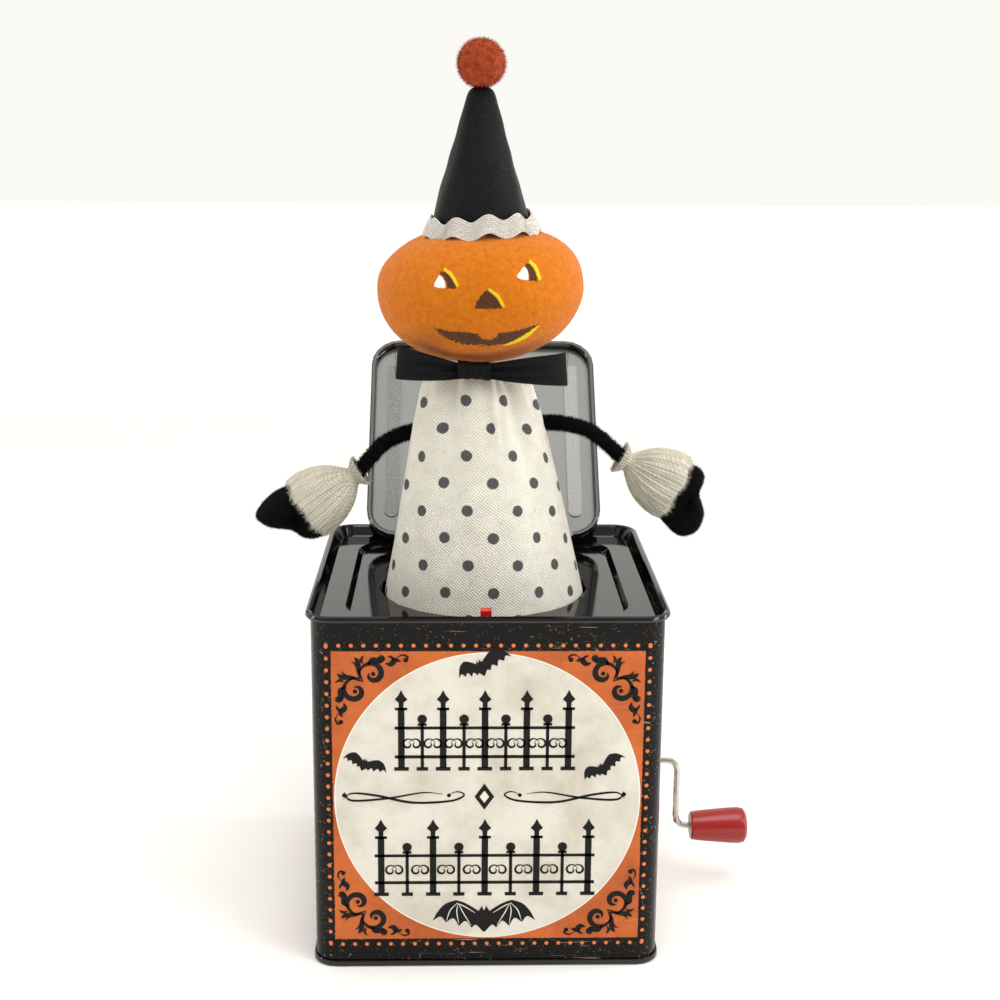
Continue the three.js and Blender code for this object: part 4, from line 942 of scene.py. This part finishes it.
fibres("pompom_strands", ball * 8.9 + middle, ball + rng.normal(0, 0.42, (n, 3)),
       rng.uniform(1.1, 2.3, n), 0.1, wool, "pompom")
print("pompom of", n, "strands")

# %% [markdown]
# ## The bow
# A bow is a strip of ribbon folded to two loops and pinched by a third piece. Each loop here is one
# strip that runs out in front, turns at the end and comes back behind. It is narrow at the knot and
# full at the end, and pleats fan out from the pinch as waves that fade with distance.

# %% Ribbon loops and knot
s = np.linspace(0, 1, 90)[:, None]
v = np.linspace(-1, 1, 27)
for side, end_x, end_z, end_half, lean_in, cut in (
        (-1, -37.3, 242.0, 6.8, 0.07, 0.054), (1, 31.9, 239.4, 6.7, 0.09, 0.066)):
    out = np.sin(np.pi * s) ** 0.62
    reach_x = (-5.7 + side * 6.2) * (1 - out) + end_x * out
    depth = np.cos(np.pi * s)
    half = 3.0 + (end_half - 3.0) * out ** 0.85
    belly = (1.2 + 2.0 * np.sin(np.pi * np.clip(out, 0, 1) * 0.62)) * depth
    pleat = 0.55 * np.sin(7.5 * v + 0.8) * (1 - out) ** 0.7 + 0.25 * np.sin(3.2 * v + 4 * out)
    y = -29.4 + 3.6 * out**2 - belly + pleat * np.sign(depth) * np.abs(depth) ** 0.3
    x = reach_x - side * 0.9 * (v * 0.5 + 0.5) * out**6 + 0 * v
    z = 239.1 + (end_z - 239.1) * out + half * v * (1 + lean_in * np.where(depth < 0, -0.9, 0.3))
    hand = "left" if side < 0 else "right"
    loop = ribbon("bow_loop_" + hand, np.stack([x, y, z], -1), 0.3, satin, "doll")
    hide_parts(f"bow_{hand}_loop")
a = np.linspace(0, 2 * np.pi, 61)[:-1]
w = np.linspace(-6.6, 6.6, 41)[:, None]
pinch = 1 - 0.1 * np.cos(w / 6.6 * np.pi / 2) ** 2
thick = (3.3 + 0.18 * np.sin(w * 2.3)) * np.abs(np.cos(a)) ** 0.7 * np.sign(np.cos(a))
tall = (3.75 * pinch + 0.1 * np.sin(w * 1.7)) * np.abs(np.sin(a)) ** 0.7 * np.sign(np.sin(a))
knot = np.stack([-5.7 + w + 0 * a, -29.4 - thick, 239.2 - 0.05 * w + tall], -1)
wrap = shell("bow_wrap", knot, 0.35, satin, "doll")
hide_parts("bow_knot")
ends = []
for x, low, high, y in ((-37.2, 235.4, 248.6, -26.0), (31.9, 233.0, 245.8, -26.0)):
    ends.append(np.stack([np.full(150, x), y + rng.normal(0, 0.5, 150), rng.uniform(low, high, 150)], 1))
ends = np.concatenate(ends)
ways = np.stack([np.sign(ends[:, 0]), rng.normal(0, 0.5, 300), rng.normal(0, 0.5, 300)], 1)
fibres("bow_frayed_ends", ends, ways, rng.uniform(0.3, 0.9, 300), 0.04, satin, "doll")
print("bow tied, with", len(ends), "loose threads")

# %% [markdown]
# ## Arms of chenille, gauze cuffs, felt hands
# The arms are chenille stems: bristles held between two twisted wires. The cuffs are cheesecloth,
# gathered at the wrist and left raw at the mouth. The hands are two layers of black felt, stuffed.
# A hand is its outline, shrunk towards its middle in steps while its height rises like a cushion's.

# %% One arm for each side
chenille, *_ = felt("black_chenille", "#040405", "#0e0e10", 0.5, sheen=0.0)
black_felt, *_ = felt("black_wool_felt", "#050507", "#121214", 0.5, sheen=0.0)
gauze, *_ = woven("cream_cheesecloth", "#96917f", "#d9d4c4", 1.2, 0.6)
sides = {
    "left": ([(-21.9, 210.6), (-30.5, 209.6), (-43, 204.4), (-56.2, 190.2), (-72.6, 178.8)],
             (-56.2, 190.2), (-75.6, 176.6),
             [(-69.5, 184.6), (-80.5, 186.6), (-90.5, 182.6), (-97.6, 173.8), (-93, 168.6), (-82.5, 166.9),
              (-76.5, 163.4), (-70.5, 163.9), (-67.2, 168.4)]),
    "right": ([(20, 212.6), (30.5, 213.2), (44.5, 209.2), (59.6, 196.6), (75.6, 187.6)],
              (59.6, 196.6), (79.3, 185.4),
              [(83.5, 190.6), (88.5, 194.6), (92.2, 190.6), (90, 184.2), (92.6, 174.6), (90, 166.8),
               (83.6, 164.3), (77.6, 168.3), (73.4, 176.2)])}
for side, (stem, wrist, mouth, outline) in sides.items():
    body = "arm_" + side
    path = bend([(x, -5, z) for x, z in stem], 24)
    arm = tube(f"{side}_arm_stem", path, 2.9, chenille, body, (0.0, 1.0, 0.0), 14)
    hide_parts(f"{side}_arm")
    at = rng.uniform(0, len(path) - 1.001, 6500)
    root = path[at.astype(int)] + (at % 1)[:, None] * np.diff(path, axis=0)[at.astype(int)]
    along = unit(np.diff(path, axis=0))[at.astype(int)]
    away = unit(np.cross(along, rng.normal(size=(len(at), 3))))
    fibres(f"{side}_arm_pile", root + 2.2 * away, away + rng.normal(0, 0.25, away.shape),
           rng.uniform(1.3, 2.2, len(at)), 0.14, chenille, body)
    start, end = (np.array([p[0], -5, p[1]]) for p in (wrist, mouth))
    way, length = unit(end - start), float(np.linalg.norm(end - start))
    flank = np.array([0.0, 1.0, 0.0])
    square = np.cross(way, flank)
    form = bend([(-0.16, 6.6), (-0.09, 5.6), (0.0, 4.1), (0.1, 5.8), (0.28, 9.4), (0.5, 12.2), (0.75, 14.0),
                 (0.93, 14.4), (1.0, 13.9)], 12)
    a = np.linspace(0, 2 * np.pi, 241)[:-1]
    s, r = form[:, :1], form[:, 1:]
    tight = np.exp(-np.abs(s) * 3.0)
    rib = 0.34 * np.sin(34 * a + 2 * np.sin(3 * a)) * (0.5 + 0.5 * tight) + 0.22 * np.sin(55 * a + 5 * s)
    puff = 0.6 * np.sin(5 * a + 1.3) * np.clip(s, 0, 1) + 0.4 * np.sin(9 * a + 4 * s) * np.clip(s, 0, 1)
    r = np.minimum(r + (rib + puff) * np.clip((r - 3.4) / 3, 0.1, 1), 15.4)
    s = s * length + 0.5 * np.sin(7 * a + 1) * np.clip(s, 0, 1) ** 4
    ring = flank * np.cos(a)[:, None] + square * np.sin(a)[:, None]
    sleeve = start + s[..., None] * way + r[..., None] * ring
    cuff = shell(f"{side}_cuff_gauze", sleeve, 0.35, gauze, body)
    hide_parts(f"{side}_cuff")
    lip_at = sleeve[-1][rng.integers(0, len(a), 700)] - 0.15 * way
    fibres(f"{side}_cuff_fray", lip_at, way + rng.normal(0, 0.5, lip_at.shape),
           rng.uniform(0.6, 2.8, len(lip_at)), 0.09, gauze, body)
    back_at = sleeve[0][rng.integers(0, len(a), 260)]
    fibres(f"{side}_cuff_wrist_fray", back_at, rng.normal(0, 0.5, back_at.shape) - way,
           rng.uniform(0.5, 1.9, len(back_at)), 0.08, gauze, body)
    loop = np.array(outline + outline[:3], float)
    loop = bend(loop, 16)[16:16 + 16 * len(outline)]
    heart = loop.mean(0)
    step = np.sin(np.linspace(0.02, np.pi - 0.02, 61))[:, None]
    face = np.sign(np.linspace(-1, 1, 61) + 1e-9)[:, None]
    inflate = 6.6 * (1 - np.clip(step, 0, 1) ** 3.2) ** 0.5 * face
    palm = np.stack([heart[0] + step * (loop[:, 0] - heart[0]), -5 + inflate + 0 * loop[:, 0],
                     heart[1] + step * (loop[:, 1] - heart[1])], -1)
    dents = np.sin(palm[..., 0] * 0.5 + 1) * np.sin(palm[..., 2] * 0.6)
    palm[..., 1] += 0.25 * dents * np.sign(palm[..., 1] + 5)
    n = len(loop)
    hand = piece(f"{side}_hand_felt", palm, quads(61, n), black_felt, body,
                 caps=(np.arange(n)[::-1], 60 * n + np.arange(n)), sharp=75)
    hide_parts(f"{side}_hand")
    mesh = hand.data
    spots, facing = np.zeros(len(mesh.vertices) * 3), np.zeros(len(mesh.vertices) * 3)
    mesh.vertices.foreach_get("co", spots)
    mesh.vertices.foreach_get("normal", facing)
    picked = rng.choice(len(mesh.vertices), 5200, replace=False)
    spots, facing = spots.reshape(-1, 3)[picked] / MM, facing.reshape(-1, 3)[picked]
    fibres(f"{side}_hand_nap", spots, facing + rng.normal(0, 0.6, facing.shape),
           rng.uniform(0.5, 1.4, len(picked)), 0.07, black_felt, body)
    print(side, "arm, cuff and hand")
